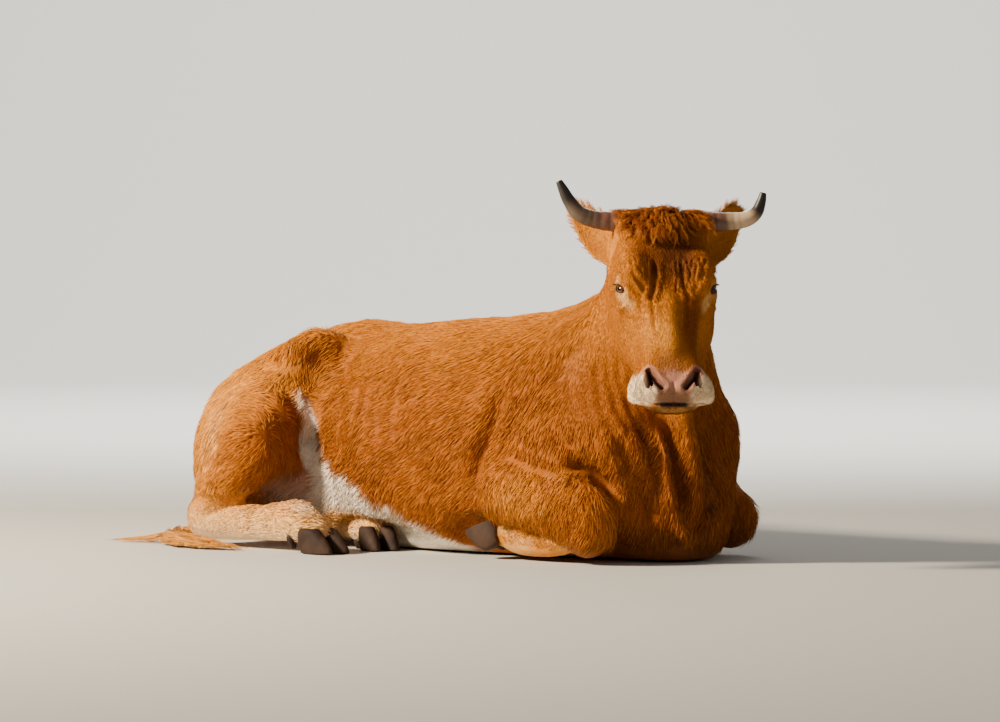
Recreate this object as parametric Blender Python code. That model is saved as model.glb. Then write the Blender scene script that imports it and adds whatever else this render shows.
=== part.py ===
"""A life-size ox lying on its chest with its head up and turned to its right, in metres, +Z up.

+X runs from the rump to the brisket and +Y to the ox's own left. The flesh is one soft field of
balls, limbs and sections, which are blended where they meet. Its surface is drawn twice, coarse for
the body and fine for the head, and parted into head, neck, torso and upper limbs by exact cuts. The
lower limbs, ears, horns, eyes, claws, tail and tufts of long hair are built on it.
"""

import math
import random

import bmesh
import bpy
import numpy as np
from mathutils import Matrix, Vector

# Driving dimensions
BARREL_HALF_WIDTH = 0.335
GAP = 0.0003
FLOOR_LEVEL = 0.0

# How the head is carried: where the poll is, how far the face leans from upright, and its turn
POLL = Vector((0.672, -0.157, 0.802))
FACE_LEAN = math.radians(34.0)
HEAD_TURN = math.radians(-41.5)
HEAD_TILT = math.radians(-0.3)

# Fineness of the grids that the flesh is read from
BODY_STEP = 0.009
HEAD_STEP = 0.0042
FAR = 0.5
LEAST_VOLUME = 1e-12
SIDES = 14
FORELOCK_SEED, FRINGE_SEED, SWITCH_SEED = 11, 23, 37
CLAW_SIDES = 8

RIGHT, LEFT = -1, 1
SIDE_NAME = {RIGHT: "right", LEFT: "left"}


def head_placement():
    """The matrix from the head's own axes (x poll to muzzle, y left, z out of the forehead)."""
    pitch = Matrix.Rotation(math.pi / 2 - FACE_LEAN, 4, "Y")
    turn = Matrix.Rotation(HEAD_TURN, 4, "Z")
    tilt = Matrix.Rotation(HEAD_TILT, 4, "X")
    return Matrix.Translation(POLL) @ turn @ tilt @ pitch


HEAD = head_placement()


def clear_scene():
    for old in list(bpy.data.objects):
        bpy.data.objects.remove(old)


def smooth_rows(rows, count):
    """Rows of numbers read off at even steps of a smooth curve through the given rows."""
    rows = np.array(rows, float)
    last = len(rows) - 1
    padded = np.vstack([2 * rows[0] - rows[1], rows, 2 * rows[last] - rows[last - 1]])
    found = []
    for place in np.linspace(0, last, count):
        i = min(int(place), last - 1)
        t = place - i
        a, b, c, d = padded[i : i + 4]
        found.append(
            0.5 * (2 * b + (c - a) * t + (2 * a - 5 * b + 4 * c - d) * t * t + (3 * b - a - 3 * c + d) * t**3)
        )
    return np.array(found)


def turned(angles):
    """A turn by degrees about X, Y and Z."""
    turn = Matrix.Identity(3)
    for angle, axis in zip(angles, "XYZ"):
        turn = Matrix.Rotation(math.radians(angle), 3, axis) @ turn
    return turn


def soft_min(one, two, blend):
    near = np.maximum(blend - np.abs(one - two), 0) / blend
    return np.minimum(one, two) - near * near * blend / 4


class Ball:
    """An ellipsoid."""

    def __init__(self, centre, radii, turns=(0, 0, 0), place=None):
        turn = turned(turns)
        centre = Vector(centre)
        if place is not None:
            centre = place @ centre
            turn = place.to_3x3() @ turn
        self.centre = centre
        self.radii = radii
        self.back = turn.transposed()
        reach = max(radii)
        self.low = [c - reach for c in centre]
        self.high = [c + reach for c in centre]

    def distance(self, x, y, z):
        px, py, pz = x - self.centre[0], y - self.centre[1], z - self.centre[2]
        near, slope = 0, 0
        for row, radius in zip(self.back, self.radii):
            part = (row[0] * px + row[1] * py + row[2] * pz) / radius
            near = near + part**2
            slope = slope + (part / radius) ** 2
        near = np.sqrt(near)
        return near * (near - 1) / np.sqrt(slope + 1e-9)


class Limb:
    """A limb through rows of (x, y, z, half width along side, half width across it)."""

    def __init__(self, rows, side=(0, 1, 0), pieces=10, place=None):
        rows = smooth_rows(rows, pieces + 1)
        self.side = Vector(side).normalized()
        self.rows = rows
        if place is not None:
            self.side = place.to_3x3() @ self.side
            for row in rows:
                row[:3] = place @ Vector(row[:3])
        reach = rows[:, 3:].max()
        self.low = rows[:, :3].min(axis=0) - reach
        self.high = rows[:, :3].max(axis=0) + reach

    def distance(self, x, y, z):
        found = None
        for one, two in zip(self.rows, self.rows[1:]):
            start, end = Vector(one[:3]), Vector(two[:3])
            length = (end - start).length
            along = (end - start) / length
            across = along.cross(self.side).normalized()
            flat = across.cross(along)
            px, py, pz = x - start[0], y - start[1], z - start[2]
            run = along[0] * px + along[1] * py + along[2] * pz
            t = np.clip(run / length, 0, 1)
            over = run - t * length
            wide = one[3] + (two[3] - one[3]) * t
            deep = one[4] + (two[4] - one[4]) * t
            least = np.minimum(wide, deep)
            parts = [
                (flat[0] * px + flat[1] * py + flat[2] * pz) / wide,
                (across[0] * px + across[1] * py + across[2] * pz) / deep,
                over / least,
            ]
            near = np.sqrt(parts[0] ** 2 + parts[1] ** 2 + parts[2] ** 2)
            slope = np.sqrt((parts[0] / wide) ** 2 + (parts[1] / deep) ** 2 + (parts[2] / least) ** 2 + 1e-9)
            depth = near * (near - 1) / slope
            found = depth if found is None else np.minimum(found, depth)
        return found


class Sections:
    """A body given by outlines at stations along x, each a closed loop of (y, z) round a middle."""

    TURNS = 96

    def __init__(self, stations, middles, loops, place=None):
        self.stations = np.array(stations)
        self.middles = np.array(middles)
        angles = np.linspace(-math.pi, math.pi, self.TURNS + 1)
        self.angles = angles
        self.reach = np.array([self.radii(loop, middle, angles) for loop, middle in zip(loops, middles)])
        self.place = place if place is not None else Matrix.Identity(4)
        self.back = self.place.inverted()
        loops = np.array(loops)
        low = Vector((min(stations), loops[..., 0].min(), loops[..., 1].min()))
        high = Vector((max(stations), loops[..., 0].max(), loops[..., 1].max()))
        corners = [
            self.place @ Vector((a, b, c)) for a in (low[0], high[0]) for b in (low[1], high[1]) for c in (low[2], high[2])
        ]
        self.low = np.min(corners, axis=0)
        self.high = np.max(corners, axis=0)

    @staticmethod
    def radii(loop, middle, angles):
        loop = np.array(loop) - middle
        turn = np.arctan2(loop[:, 1], loop[:, 0])
        order = np.argsort(turn)
        turn, reach = turn[order], np.hypot(loop[:, 0], loop[:, 1])[order]
        return np.interp(angles, turn, reach, period=2 * math.pi)

    def distance(self, x, y, z):
        m = self.back
        px, py, pz = (m[i][0] * x + m[i][1] * y + m[i][2] * z + m[i][3] for i in range(3))
        px, py, pz = np.broadcast_arrays(px, py, pz)
        low, high = self.stations[0], self.stations[-1]
        place = np.interp(px, self.stations, np.arange(len(self.stations)))
        i = np.minimum(place.astype(int), len(self.stations) - 2)
        t = place - i
        middle = self.middles[i] * (1 - t)[..., None] + self.middles[i + 1] * t[..., None]
        dy, dz = py - middle[..., 0], pz - middle[..., 1]
        turn = (np.arctan2(dz, dy) + math.pi) / (2 * math.pi) * self.TURNS
        j = np.minimum(turn.astype(int), self.TURNS - 1)
        s = turn - j
        reach = (
            self.reach[i, j] * (1 - t) * (1 - s)
            + self.reach[i + 1, j] * t * (1 - s)
            + self.reach[i, j + 1] * (1 - t) * s
            + self.reach[i + 1, j + 1] * t * s
        )
        depth = (np.hypot(dy, dz) - reach) * 0.9
        beyond = np.maximum(px - high, low - px)
        return np.maximum(depth, beyond)


class Clay:
    """Soft volumes on a grid, held as the distance to their common surface."""

    def __init__(self, low, high, step):
        self.step = step
        self.axes = [np.arange(a, b, step) for a, b in zip(low, high)]
        self.depth = np.full([len(axis) for axis in self.axes], FAR)

    def window(self, shape, blend):
        margin = blend + 2 * self.step
        picks = []
        for axis, low, high in zip(self.axes, shape.low, shape.high):
            picks.append(slice(np.searchsorted(axis, low - margin), np.searchsorted(axis, high + margin)))
        grids = np.ix_(*[axis[pick] for axis, pick in zip(self.axes, picks)])
        return tuple(picks), grids

    def add(self, shape, blend):
        picks, grids = self.window(shape, blend)
        if self.depth[picks].size:
            self.depth[picks] = soft_min(self.depth[picks], shape.distance(*grids), blend)

    def carve(self, shape, blend):
        picks, grids = self.window(shape, blend)
        if self.depth[picks].size:
            self.depth[picks] = -soft_min(-self.depth[picks], shape.distance(*grids), blend)

    def surface(self, name):
        """A closed mesh with one point in each cell of the grid that the surface crosses."""
        shape = self.depth.shape
        inner = self.depth[1:-1, 1:-1, 1:-1].copy()
        self.depth[:] = self.step
        self.depth[1:-1, 1:-1, 1:-1] = inner
        cells, places, quads = [], [], []
        for axis in range(3):
            low = [slice(None)] * 3
            high = [slice(None)] * 3
            low[axis] = slice(0, -1)
            high[axis] = slice(1, None)
            one, two = self.depth[tuple(low)], self.depth[tuple(high)]
            crossed = (one < 0) != (two < 0)
            index = np.argwhere(crossed)
            one, two = one[crossed], two[crossed]
            place = index.astype(float)
            place[:, axis] += one / (one - two)
            corners = []
            for a, b in ((0, 0), (1, 0), (1, 1), (0, 1)):
                cell = index.copy()
                cell[:, (axis + 1) % 3] -= a
                cell[:, (axis + 2) % 3] -= b
                corners.append(np.ravel_multi_index(cell.T, shape))
                places.append(place)
            cells += corners
            quad = np.stack(corners, axis=1)
            quad[one > 0] = quad[one > 0][:, ::-1]
            quads.append(quad)
        numbers, index = np.unique(np.concatenate(cells), return_inverse=True)
        places = np.concatenate(places)
        count = np.bincount(index)
        points = np.stack([np.bincount(index, places[:, i]) / count for i in range(3)], axis=1)
        points = points * self.step + [axis[0] for axis in self.axes]
        faces = np.searchsorted(numbers, np.concatenate(quads))
        mesh = bpy.data.meshes.new(name)
        mesh.from_pydata(points.tolist(), [], faces.tolist())
        mesh.validate()
        return new_object(name, mesh)


def new_object(name, mesh):
    made = bpy.data.objects.new(name, mesh)
    bpy.context.scene.collection.objects.link(made)
    return made


def trunk():
    """The barrel from brisket to rump, by rows of (x, middle, top, widest level, bottom, half width, lean)."""
    wide = BARREL_HALF_WIDTH
    rows = [
        (0.670, -0.012, 0.150, 0.090, 0.040, 0.12 * wide, 0.00),
        (0.650, -0.010, 0.250, 0.120, 0.000, 0.34 * wide, 0.00),
        (0.600, -0.005, 0.380, 0.160, -0.020, 0.50 * wide, 0.00),
        (0.520, 0.000, 0.520, 0.200, -0.020, 0.60 * wide, 0.00),
        (0.430, 0.000, 0.592, 0.230, -0.020, 0.68 * wide, 0.00),
        (0.320, 0.000, 0.596, 0.240, -0.020, 0.79 * wide, 0.00),
        (0.180, 0.000, 0.575, 0.240, -0.020, 0.91 * wide, 0.00),
        (0.020, 0.008, 0.560, 0.232, -0.020, 0.99 * wide, 0.01),
        (-0.140, 0.024, 0.552, 0.222, -0.020, 1.01 * wide, 0.03),
        (-0.300, 0.048, 0.540, 0.220, -0.020, 0.94 * wide, 0.07),
        (-0.440, 0.075, 0.536, 0.235, -0.010, 0.80 * wide, 0.12),
        (-0.560, 0.095, 0.545, 0.255, 0.010, 0.70 * wide, 0.14),
        (-0.680, 0.110, 0.530, 0.265, 0.035, 0.60 * wide, 0.14),
        (-0.790, 0.118, 0.480, 0.270, 0.070, 0.46 * wide, 0.12),
        (-0.860, 0.120, 0.410, 0.270, 0.120, 0.30 * wide, 0.10),
        (-0.890, 0.120, 0.330, 0.270, 0.200, 0.10 * wide, 0.10),
    ]
    stations, middles, loops = [], [], []
    for x, middle, top, level, bottom, half, lean in smooth_rows(rows, 60):
        loop = []
        for k in range(72):
            a = 2 * math.pi * k / 72
            side, rise = math.sin(a), math.cos(a)
            power = 2.0 / (2.0 if rise > 0 else 2.5)
            y = half * math.copysign(abs(side) ** power, side)
            reach = top - level if rise > 0 else level - bottom
            z = reach * math.copysign(abs(rise) ** power, rise)
            loop.append((middle + y + lean * z, level + z))
        stations.append(-x)
        middles.append((middle, level))
        loops.append(loop)
    turned_back = Matrix.Diagonal((-1, 1, 1, 1))
    return [("add", Sections(stations, middles, loops, turned_back), 0.05)]


def neck():
    """From between the shoulders up to the back of the skull, with the dewlap under it."""
    side = (0.45, 0.9, 0.0)
    core = [
        (0.360, 0.000, 0.330, 0.180, 0.220),
        (0.460, -0.015, 0.430, 0.150, 0.200),
        (0.540, -0.058, 0.540, 0.116, 0.158),
        (0.582, -0.100, 0.640, 0.098, 0.128),
        (0.600, -0.125, 0.720, 0.086, 0.098),
    ]
    crest = [
        (0.340, 0.000, 0.530, 0.055, 0.055),
        (0.445, -0.012, 0.580, 0.048, 0.050),
        (0.532, -0.054, 0.655, 0.046, 0.045),
        (0.605, -0.104, 0.740, 0.052, 0.040),
    ]
    dewlap = [
        (0.635, -0.140, 0.540, 0.040, 0.062),
        (0.650, -0.112, 0.430, 0.032, 0.070),
        (0.650, -0.080, 0.310, 0.030, 0.075),
        (0.648, -0.048, 0.200, 0.034, 0.070),
        (0.640, -0.020, 0.090, 0.050, 0.060),
    ]
    return [
        ("add", Limb(core, side), 0.08),
        ("add", Limb(crest, side), 0.05),
        ("add", Limb(dewlap, side), 0.05),
    ]


def shoulder(side):
    """Shoulder blade, point of the shoulder, upper arm and forearm of one side."""
    if side == RIGHT:
        blade = Ball((0.410, -0.150, 0.370), (0.120, 0.085, 0.230), (-14, 24, 0))
        point = Ball((0.520, -0.165, 0.260), (0.090, 0.080, 0.110), (0, 20, 0))
        arm = Ball((0.380, -0.215, 0.225), (0.150, 0.080, 0.100), (0, 26, 0))
        forearm = [
            (0.275, -0.262, 0.150, 0.068, 0.080),
            (0.370, -0.268, 0.152, 0.072, 0.084),
            (0.460, -0.262, 0.125, 0.068, 0.080),
            (0.535, -0.252, 0.088, 0.068, 0.084),
        ]
    else:
        blade = Ball((0.410, 0.140, 0.370), (0.120, 0.075, 0.220), (14, 24, 0))
        point = Ball((0.520, 0.150, 0.250), (0.085, 0.070, 0.110), (0, 20, 0))
        arm = Ball((0.390, 0.195, 0.215), (0.150, 0.075, 0.100), (0, 26, 0))
        forearm = [
            (0.290, 0.235, 0.145, 0.066, 0.080),
            (0.385, 0.240, 0.145, 0.070, 0.080),
            (0.475, 0.232, 0.115, 0.064, 0.076),
            (0.548, 0.222, 0.082, 0.062, 0.076),
        ]
    return [
        ("add", blade, 0.10),
        ("add", point, 0.08),
        ("add", arm, 0.06),
        ("add", Limb(forearm), 0.035),
    ]


def right_haunch():
    """The near hip, thigh and gaskin, with the stifle pushed out to the ox's right."""
    gluteal = [
        (-0.540, -0.080, 0.450, 0.052, 0.052),
        (-0.640, -0.065, 0.395, 0.090, 0.092),
        (-0.750, -0.040, 0.335, 0.100, 0.098),
        (-0.820, -0.010, 0.290, 0.078, 0.078),
    ]
    thigh = [
        (-0.650, -0.110, 0.345, 0.115, 0.105),
        (-0.590, -0.210, 0.310, 0.115, 0.095),
        (-0.520, -0.310, 0.270, 0.092, 0.080),
        (-0.470, -0.380, 0.240, 0.062, 0.060),
    ]
    hamstring = [
        (-0.810, -0.030, 0.340, 0.080, 0.085),
        (-0.760, -0.160, 0.280, 0.085, 0.105),
        (-0.690, -0.260, 0.200, 0.080, 0.095),
        (-0.640, -0.335, 0.120, 0.050, 0.060),
    ]
    gaskin = [
        (-0.465, -0.388, 0.222, 0.062, 0.066),
        (-0.505, -0.392, 0.180, 0.066, 0.066),
        (-0.560, -0.386, 0.130, 0.056, 0.056),
        (-0.615, -0.375, 0.082, 0.046, 0.046),
    ]
    return [
        ("add", Ball((-0.515, -0.115, 0.485), (0.052, 0.045, 0.036), (0, 0, 20)), 0.06),
        ("add", Limb(gluteal), 0.08),
        ("add", Limb(thigh, (0.6, 0.5, 0.3)), 0.07),
        ("add", Limb(hamstring, (0.7, 0.7, 0)), 0.07),
        ("add", Limb(gaskin), 0.05),
    ]


def left_haunch():
    """The far haunch, which the ox lies on, with its stifle low against the ground."""
    gluteal = [
        (-0.540, 0.270, 0.380, 0.070, 0.070),
        (-0.650, 0.265, 0.310, 0.110, 0.105),
        (-0.780, 0.235, 0.250, 0.100, 0.100),
        (-0.840, 0.205, 0.220, 0.070, 0.070),
    ]
    thigh = [
        (-0.720, 0.270, 0.150, 0.115, 0.130),
        (-0.580, 0.315, 0.140, 0.110, 0.130),
        (-0.450, 0.345, 0.125, 0.090, 0.110),
        (-0.350, 0.345, 0.105, 0.065, 0.080),
    ]
    return [
        ("add", Ball((-0.515, 0.300, 0.430), (0.055, 0.048, 0.038), (0, 0, -20)), 0.07),
        ("add", Limb(gluteal), 0.09),
        ("add", Limb(thigh), 0.09),
    ]


def soft_parts():
    """The pale bulge between the near thigh and the belly, and the hollow in front of the hip."""
    return [
        ("add", Ball((-0.400, -0.185, 0.100), (0.115, 0.085, 0.085)), 0.06),
        ("add", Ball((-0.530, -0.205, 0.130), (0.100, 0.100, 0.090)), 0.06),
        ("carve", Ball((-0.415, -0.245, 0.470), (0.075, 0.045, 0.100), (0, -25, 0)), 0.08),
    ]


def skull():
    """The head's own volumes in its own axes."""
    # At each station x, the right half of the outline from the forehead round to the throat
    rows = [
        (-0.045, 0, -0.055, 0.045, -0.060, 0.070, -0.075, 0.080, -0.100, 0.070, -0.140, 0.040, -0.160, 0, -0.165),
        (0.000, 0, -0.008, 0.060, -0.012, 0.090, -0.030, 0.100, -0.070, 0.095, -0.140, 0.060, -0.200, 0, -0.205),
        (0.060, 0, 0.002, 0.065, -0.001, 0.095, -0.018, 0.108, -0.060, 0.108, -0.140, 0.070, -0.212, 0, -0.222),
        (0.120, 0, 0.004, 0.070, 0.002, 0.102, -0.014, 0.112, -0.060, 0.114, -0.140, 0.080, -0.216, 0, -0.228),
        (0.180, 0, 0.002, 0.065, 0.000, 0.098, -0.020, 0.108, -0.060, 0.118, -0.140, 0.086, -0.210, 0, -0.222),
        (0.240, 0, -0.004, 0.052, -0.008, 0.076, -0.030, 0.098, -0.080, 0.114, -0.140, 0.086, -0.200, 0, -0.210),
        (0.300, 0, -0.012, 0.046, -0.016, 0.064, -0.040, 0.084, -0.090, 0.094, -0.140, 0.070, -0.182, 0, -0.190),
        (0.350, 0, -0.018, 0.044, -0.021, 0.058, -0.042, 0.078, -0.085, 0.078, -0.125, 0.056, -0.158, 0, -0.166),
        (0.385, 0, -0.020, 0.050, -0.024, 0.070, -0.045, 0.090, -0.082, 0.084, -0.116, 0.052, -0.142, 0, -0.150),
        (0.420, 0, -0.024, 0.058, -0.030, 0.082, -0.050, 0.101, -0.086, 0.092, -0.112, 0.054, -0.132, 0, -0.140),
        (0.448, 0, -0.040, 0.054, -0.046, 0.078, -0.062, 0.096, -0.088, 0.086, -0.108, 0.046, -0.122, 0, -0.128),
        (0.474, 0, -0.070, 0.034, -0.073, 0.048, -0.080, 0.058, -0.088, 0.048, -0.098, 0.027, -0.104, 0, -0.107),
    ]
    stations, middles, loops = [], [], []
    for row in smooth_rows(rows, 60):
        half = [(row[i], row[i + 1]) for i in range(1, 15, 2)]
        mirror = [(-y, z) for y, z in half[-2:0:-1]]
        loop = smooth_rows(half + mirror + half[:1], 61)[:-1]
        stations.append(row[0])
        middles.append((0, 0.5 * (half[0][1] + half[-1][1])))
        loops.append(loop)
    steps = [("add", Sections(stations, middles, loops, HEAD), 0.05)]
    for side in (RIGHT, LEFT):
        brow = Ball((0.156, side * 0.086, -0.020), (0.044, 0.026, 0.019), (side * 20, 0, 0), HEAD)
        under_eye = Ball((0.215, side * 0.094, -0.066), (0.045, 0.018, 0.018), (0, 10, side * -14), HEAD)
        wing = Ball((0.432, side * 0.046, -0.050), (0.034, 0.024, 0.028), (0, 0, side * -20), HEAD)
        horn_base = Ball((0.006, side * 0.080, -0.036), (0.032, 0.028, 0.030), (0, 0, 0), HEAD)
        steps += [
            ("add", brow, 0.035),
            ("add", under_eye, 0.030),
            ("add", wing, 0.020),
            ("add", horn_base, 0.030),
            ("carve", Ball((0.172, side * 0.122, -0.046), (0.034, 0.024, 0.018), (0, 0, 0), HEAD), 0.020),
            ("carve", Ball((0.290, side * 0.100, -0.070), (0.060, 0.022, 0.030), (0, 8, side * -14), HEAD), 0.030),
        ]
    steps += [
        ("add", Ball((0.446, 0, -0.060), (0.028, 0.050, 0.032), (0, 12, 0), HEAD), 0.025),
        ("add", Ball((0.424, 0, -0.122), (0.034, 0.044, 0.020), (0, 8, 0), HEAD), 0.020),
        ("add", Ball((0.012, 0, -0.030), (0.034, 0.066, 0.028), (0, 0, 0), HEAD), 0.030),
    ]
    return steps


def room_for_feet():
    """Grooves in the flesh where the folded feet lie against it."""
    fore_right = [(0.420, -0.255, 0.036, 0.036, 0.030), (0.300, -0.252, 0.050, 0.058, 0.046), (0.130, -0.252, 0.045, 0.060, 0.050)]
    fore_left = [(x + 0.010, -y - 0.030, z, a, b) for x, y, z, a, b in fore_right]
    hind_left = [(-0.340, -0.165, 0.040, 0.040, 0.040), (-0.240, -0.215, 0.040, 0.056, 0.044), (-0.080, -0.275, 0.020, 0.060, 0.044)]
    return [
        ("carve", Limb(fore_right, pieces=4), 0.020),
        ("carve", Limb(fore_left, pieces=4), 0.020),
        ("carve", Limb(hind_left, (0.4, 0.9, 0), pieces=4), 0.020),
    ]


def flesh(low, high, step):
    """The whole animal's flesh read on one grid."""
    clay = Clay(low, high, step)
    steps = [*trunk(), *neck(), *shoulder(RIGHT), *shoulder(LEFT), *right_haunch(), *left_haunch()]
    for action, shape, blend in steps + soft_parts() + skull() + room_for_feet():
        if action == "add":
            clay.add(shape, blend)
        else:
            clay.carve(shape, blend)
    return clay


def object_from_bmesh(name, work):
    bmesh.ops.recalc_face_normals(work, faces=work.faces)
    mesh = bpy.data.meshes.new(name)
    work.to_mesh(mesh)
    work.free()
    return new_object(name, mesh)


def closed_rings(name, rings):
    """A closed body through rings of points, with a fan over each end."""
    work = bmesh.new()
    loops = [[work.verts.new(p) for p in ring] for ring in rings]
    for one, two in zip(loops, loops[1:]):
        for i in range(len(one)):
            j = (i + 1) % len(one)
            work.faces.new((one[i], one[j], two[j], two[i]))
    for loop in (loops[0], loops[-1]):
        centre = sum((v.co for v in loop), Vector()) / len(loop)
        tip = work.verts.new(centre)
        for i in range(len(loop)):
            work.faces.new((loop[i], loop[(i + 1) % len(loop)], tip))
    return object_from_bmesh(name, work)


def tube(name, rows, side=(0, 1, 0), steps=12, sides=SIDES):
    """A solid through rows of (x, y, z, half width along side, half width across it), with rounded ends."""
    rows = smooth_rows(rows, steps)
    points = [Vector(row[:3]) for row in rows]
    side = Vector(side).normalized()
    rings = []
    for i, row in enumerate(rows):
        along = (points[min(i + 1, steps - 1)] - points[max(i - 1, 0)]).normalized()
        across = along.cross(side).normalized()
        flat = across.cross(along)
        ends = [(points[i], 1.0)]
        if i in (0, steps - 1):
            reach = 0.8 * min(row[3], row[4])
            out = -along if i == 0 else along
            angles = [math.radians(a) for a in (35, 65)]
            ends += [(points[i] + out * reach * math.sin(a), math.cos(a)) for a in angles]
        if i == 0:
            ends.reverse()
        for centre, size in ends:
            ring = []
            for k in range(sides):
                a = 2 * math.pi * k / sides
                ring.append(centre + size * (flat * row[3] * math.cos(a) + across * row[4] * math.sin(a)))
            rings.append(ring)
    return closed_rings(name, rings)


def evaluated_mesh(made):
    graph = bpy.context.evaluated_depsgraph_get()
    graph.update()
    return bpy.data.meshes.new_from_object(made.evaluated_get(graph))


def bake(made):
    """The object with its modifiers applied."""
    mesh = evaluated_mesh(made)
    made.modifiers.clear()
    made.data = mesh
    return made


def copy_of(made, name):
    return new_object(name, made.data.copy())


def combine(made, other, operation, solver="MANIFOLD"):
    """The object after one Boolean with another, which is then removed."""
    change = made.modifiers.new("Combine", "BOOLEAN")
    change.operation = operation
    change.solver = solver
    change.object = other
    bake(made)
    bpy.data.objects.remove(other)
    return made


def keep_largest(made):
    """Only the largest closed surface stays."""
    work = bmesh.new()
    work.from_mesh(made.data)
    work.verts.ensure_lookup_table()
    seen = set()
    groups = []
    for start in work.verts:
        if start in seen:
            continue
        group, queue = [], [start]
        seen.add(start)
        while queue:
            vert = queue.pop()
            group.append(vert)
            for edge in vert.link_edges:
                other = edge.other_vert(vert)
                if other not in seen:
                    seen.add(other)
                    queue.append(other)
        groups.append(group)
    groups.sort(key=len)
    for group in groups[:-1]:
        bmesh.ops.delete(work, geom=group, context="VERTS")
    work.to_mesh(made.data)
    work.free()
    return made


def is_closed(made):
    work = bmesh.new()
    work.from_mesh(made.data)
    closed = all(len(edge.link_faces) == 2 for edge in work.edges) and all(vert.is_manifold for vert in work.verts)
    work.free()
    return closed


def thinned(made, triangles):
    """The object with about this many triangles, still closed."""
    full = made.data
    full.calc_loop_triangles()
    count = len(full.loop_triangles)
    for tries in range(12):
        if count <= triangles:
            break
        if tries == 4:
            full = eased(made, 0.8 * BODY_STEP, 0).data
            full.calc_loop_triangles()
            count = len(full.loop_triangles)
        thin = made.modifiers.new("Thin", "DECIMATE")
        thin.ratio = triangles * (1 + 0.013 * tries) / count
        bake(made)
        if is_closed(made):
            break
        made.data = full
    return made


def eased(made, step, rounds):
    """The surface remade as one closed skin and smoothed."""
    remesh = made.modifiers.new("Remesh", "REMESH")
    remesh.mode = "VOXEL"
    remesh.voxel_size = step
    ease = made.modifiers.new("Ease", "SMOOTH")
    ease.factor = 0.5
    ease.iterations = rounds
    return bake(made)


def grown(made, distance):
    """A copy pushed out along its normals."""
    other = copy_of(made, made.name + "_grown")
    work = bmesh.new()
    work.from_mesh(other.data)
    bmesh.ops.recalc_face_normals(work, faces=work.faces)
    work.normal_update()
    moved = [vert.co + vert.normal * distance * vert.calc_shell_factor() for vert in work.verts]
    for vert, place in zip(work.verts, moved):
        vert.co = place
    work.to_mesh(other.data)
    work.free()
    return other


def shared_volume(one, two):
    """The volume that two solids have in common."""
    common = combine(copy_of(one, "common"), copy_of(two, "other"), "INTERSECT")
    work = bmesh.new()
    work.from_mesh(common.data)
    volume = abs(work.calc_volume())
    work.free()
    bpy.data.objects.remove(common)
    return volume


def box_of(made):
    corners = np.array([vert.co for vert in made.data.vertices])
    return corners.min(axis=0), corners.max(axis=0)


def fitted(made, others):
    """The object with room cut for those of the others that it reaches, which stay as they are."""
    for other in others:
        if not made.data.vertices:
            raise ValueError(made.name + " is wholly inside its neighbours")
        low, high = box_of(made)
        other_low, other_high = box_of(other)
        if (low < other_high + GAP).all() and (other_low < high + GAP).all():
            for spare in (3.0, 4.5):
                combine(made, grown(other, spare * GAP), "DIFFERENCE")
                if shared_volume(made, other) < LEAST_VOLUME:
                    break
    return keep_largest(made)


def outset(outline, distance):
    """An outline, counterclockwise, with each side moved outward."""
    found = []
    count = len(outline)
    for i in range(count):
        before, here, after = (Vector(outline[(i + k) % count]) for k in (-1, 0, 1))
        one, two = (here - before).normalized(), (after - here).normalized()
        normals = Vector((one.y, -one.x)), Vector((two.y, -two.x))
        shift = (normals[0] + normals[1]) * distance / (1 + normals[0].dot(normals[1]))
        found.append(here + shift)
    return found


class Cutter:
    """A prism over an outline in two of the axes, from low to high along the third."""

    def __init__(self, outline, low, high, plane, place=None):
        self.outline = outline
        self.low, self.high = low, high
        self.plane = plane
        self.place = place if place is not None else Matrix.Identity(4)

    def solid(self, grow):
        work = bmesh.new()
        ends = []
        for level in (self.low - grow, self.high + grow):
            ring = []
            for a, b in outset(self.outline, grow):
                point = {"xy": (a, b, level), "xz": (a, level, b)}[self.plane]
                ring.append(work.verts.new(self.place @ Vector(point)))
            ends.append(ring)
        count = len(self.outline)
        for i in range(count):
            j = (i + 1) % count
            work.faces.new((ends[0][i], ends[0][j], ends[1][j], ends[1][i]))
        work.faces.new(ends[0])
        work.faces.new(ends[1])
        return object_from_bmesh("cutter", work)


HEAD_CUT = Cutter(
    [(-0.090, -0.030), (0.130, -0.242), (0.360, -0.182), (0.560, -0.160), (0.560, 0.120), (-0.090, 0.120)],
    -0.300,
    0.300,
    "xz",
    HEAD,
)
NECK_CUT = Cutter([(0.420, 0.630), (0.665, 0.200), (1.200, 0.200), (1.200, 1.050), (0.420, 1.050)], -0.600, 0.600, "xz")
FORE_CUT = {
    RIGHT: Cutter([(0.190, -0.700), (0.720, -0.700), (0.720, -0.190), (0.190, -0.190)], -0.200, 0.215, "xy"),
    LEFT: Cutter([(0.200, 0.172), (0.720, 0.172), (0.720, 0.700), (0.200, 0.700)], -0.200, 0.205, "xy"),
}
HIND_CUT = {
    RIGHT: Cutter(
        [(-1.100, -0.700), (-0.200, -0.700), (-0.200, -0.345), (-0.330, -0.345), (-0.560, -0.200), (-0.740, -0.010), (-1.100, 0.040)],
        -0.200,
        0.430,
        "xy",
    ),
    LEFT: Cutter(
        [(-1.100, 0.160), (-0.620, 0.200), (-0.260, 0.265), (-0.260, 0.700), (-1.100, 0.700)],
        -0.200,
        0.370,
        "xy",
    ),
}


def floor_cut(made):
    """Everything below the floor cut away, which leaves the flats that the animal rests on."""
    below = Cutter([(-1.300, -0.900), (1.400, -0.900), (1.400, 0.900), (-1.300, 0.900)], -0.300, FLOOR_LEVEL, "xy")
    return combine(made, below.solid(0), "DIFFERENCE")


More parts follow.
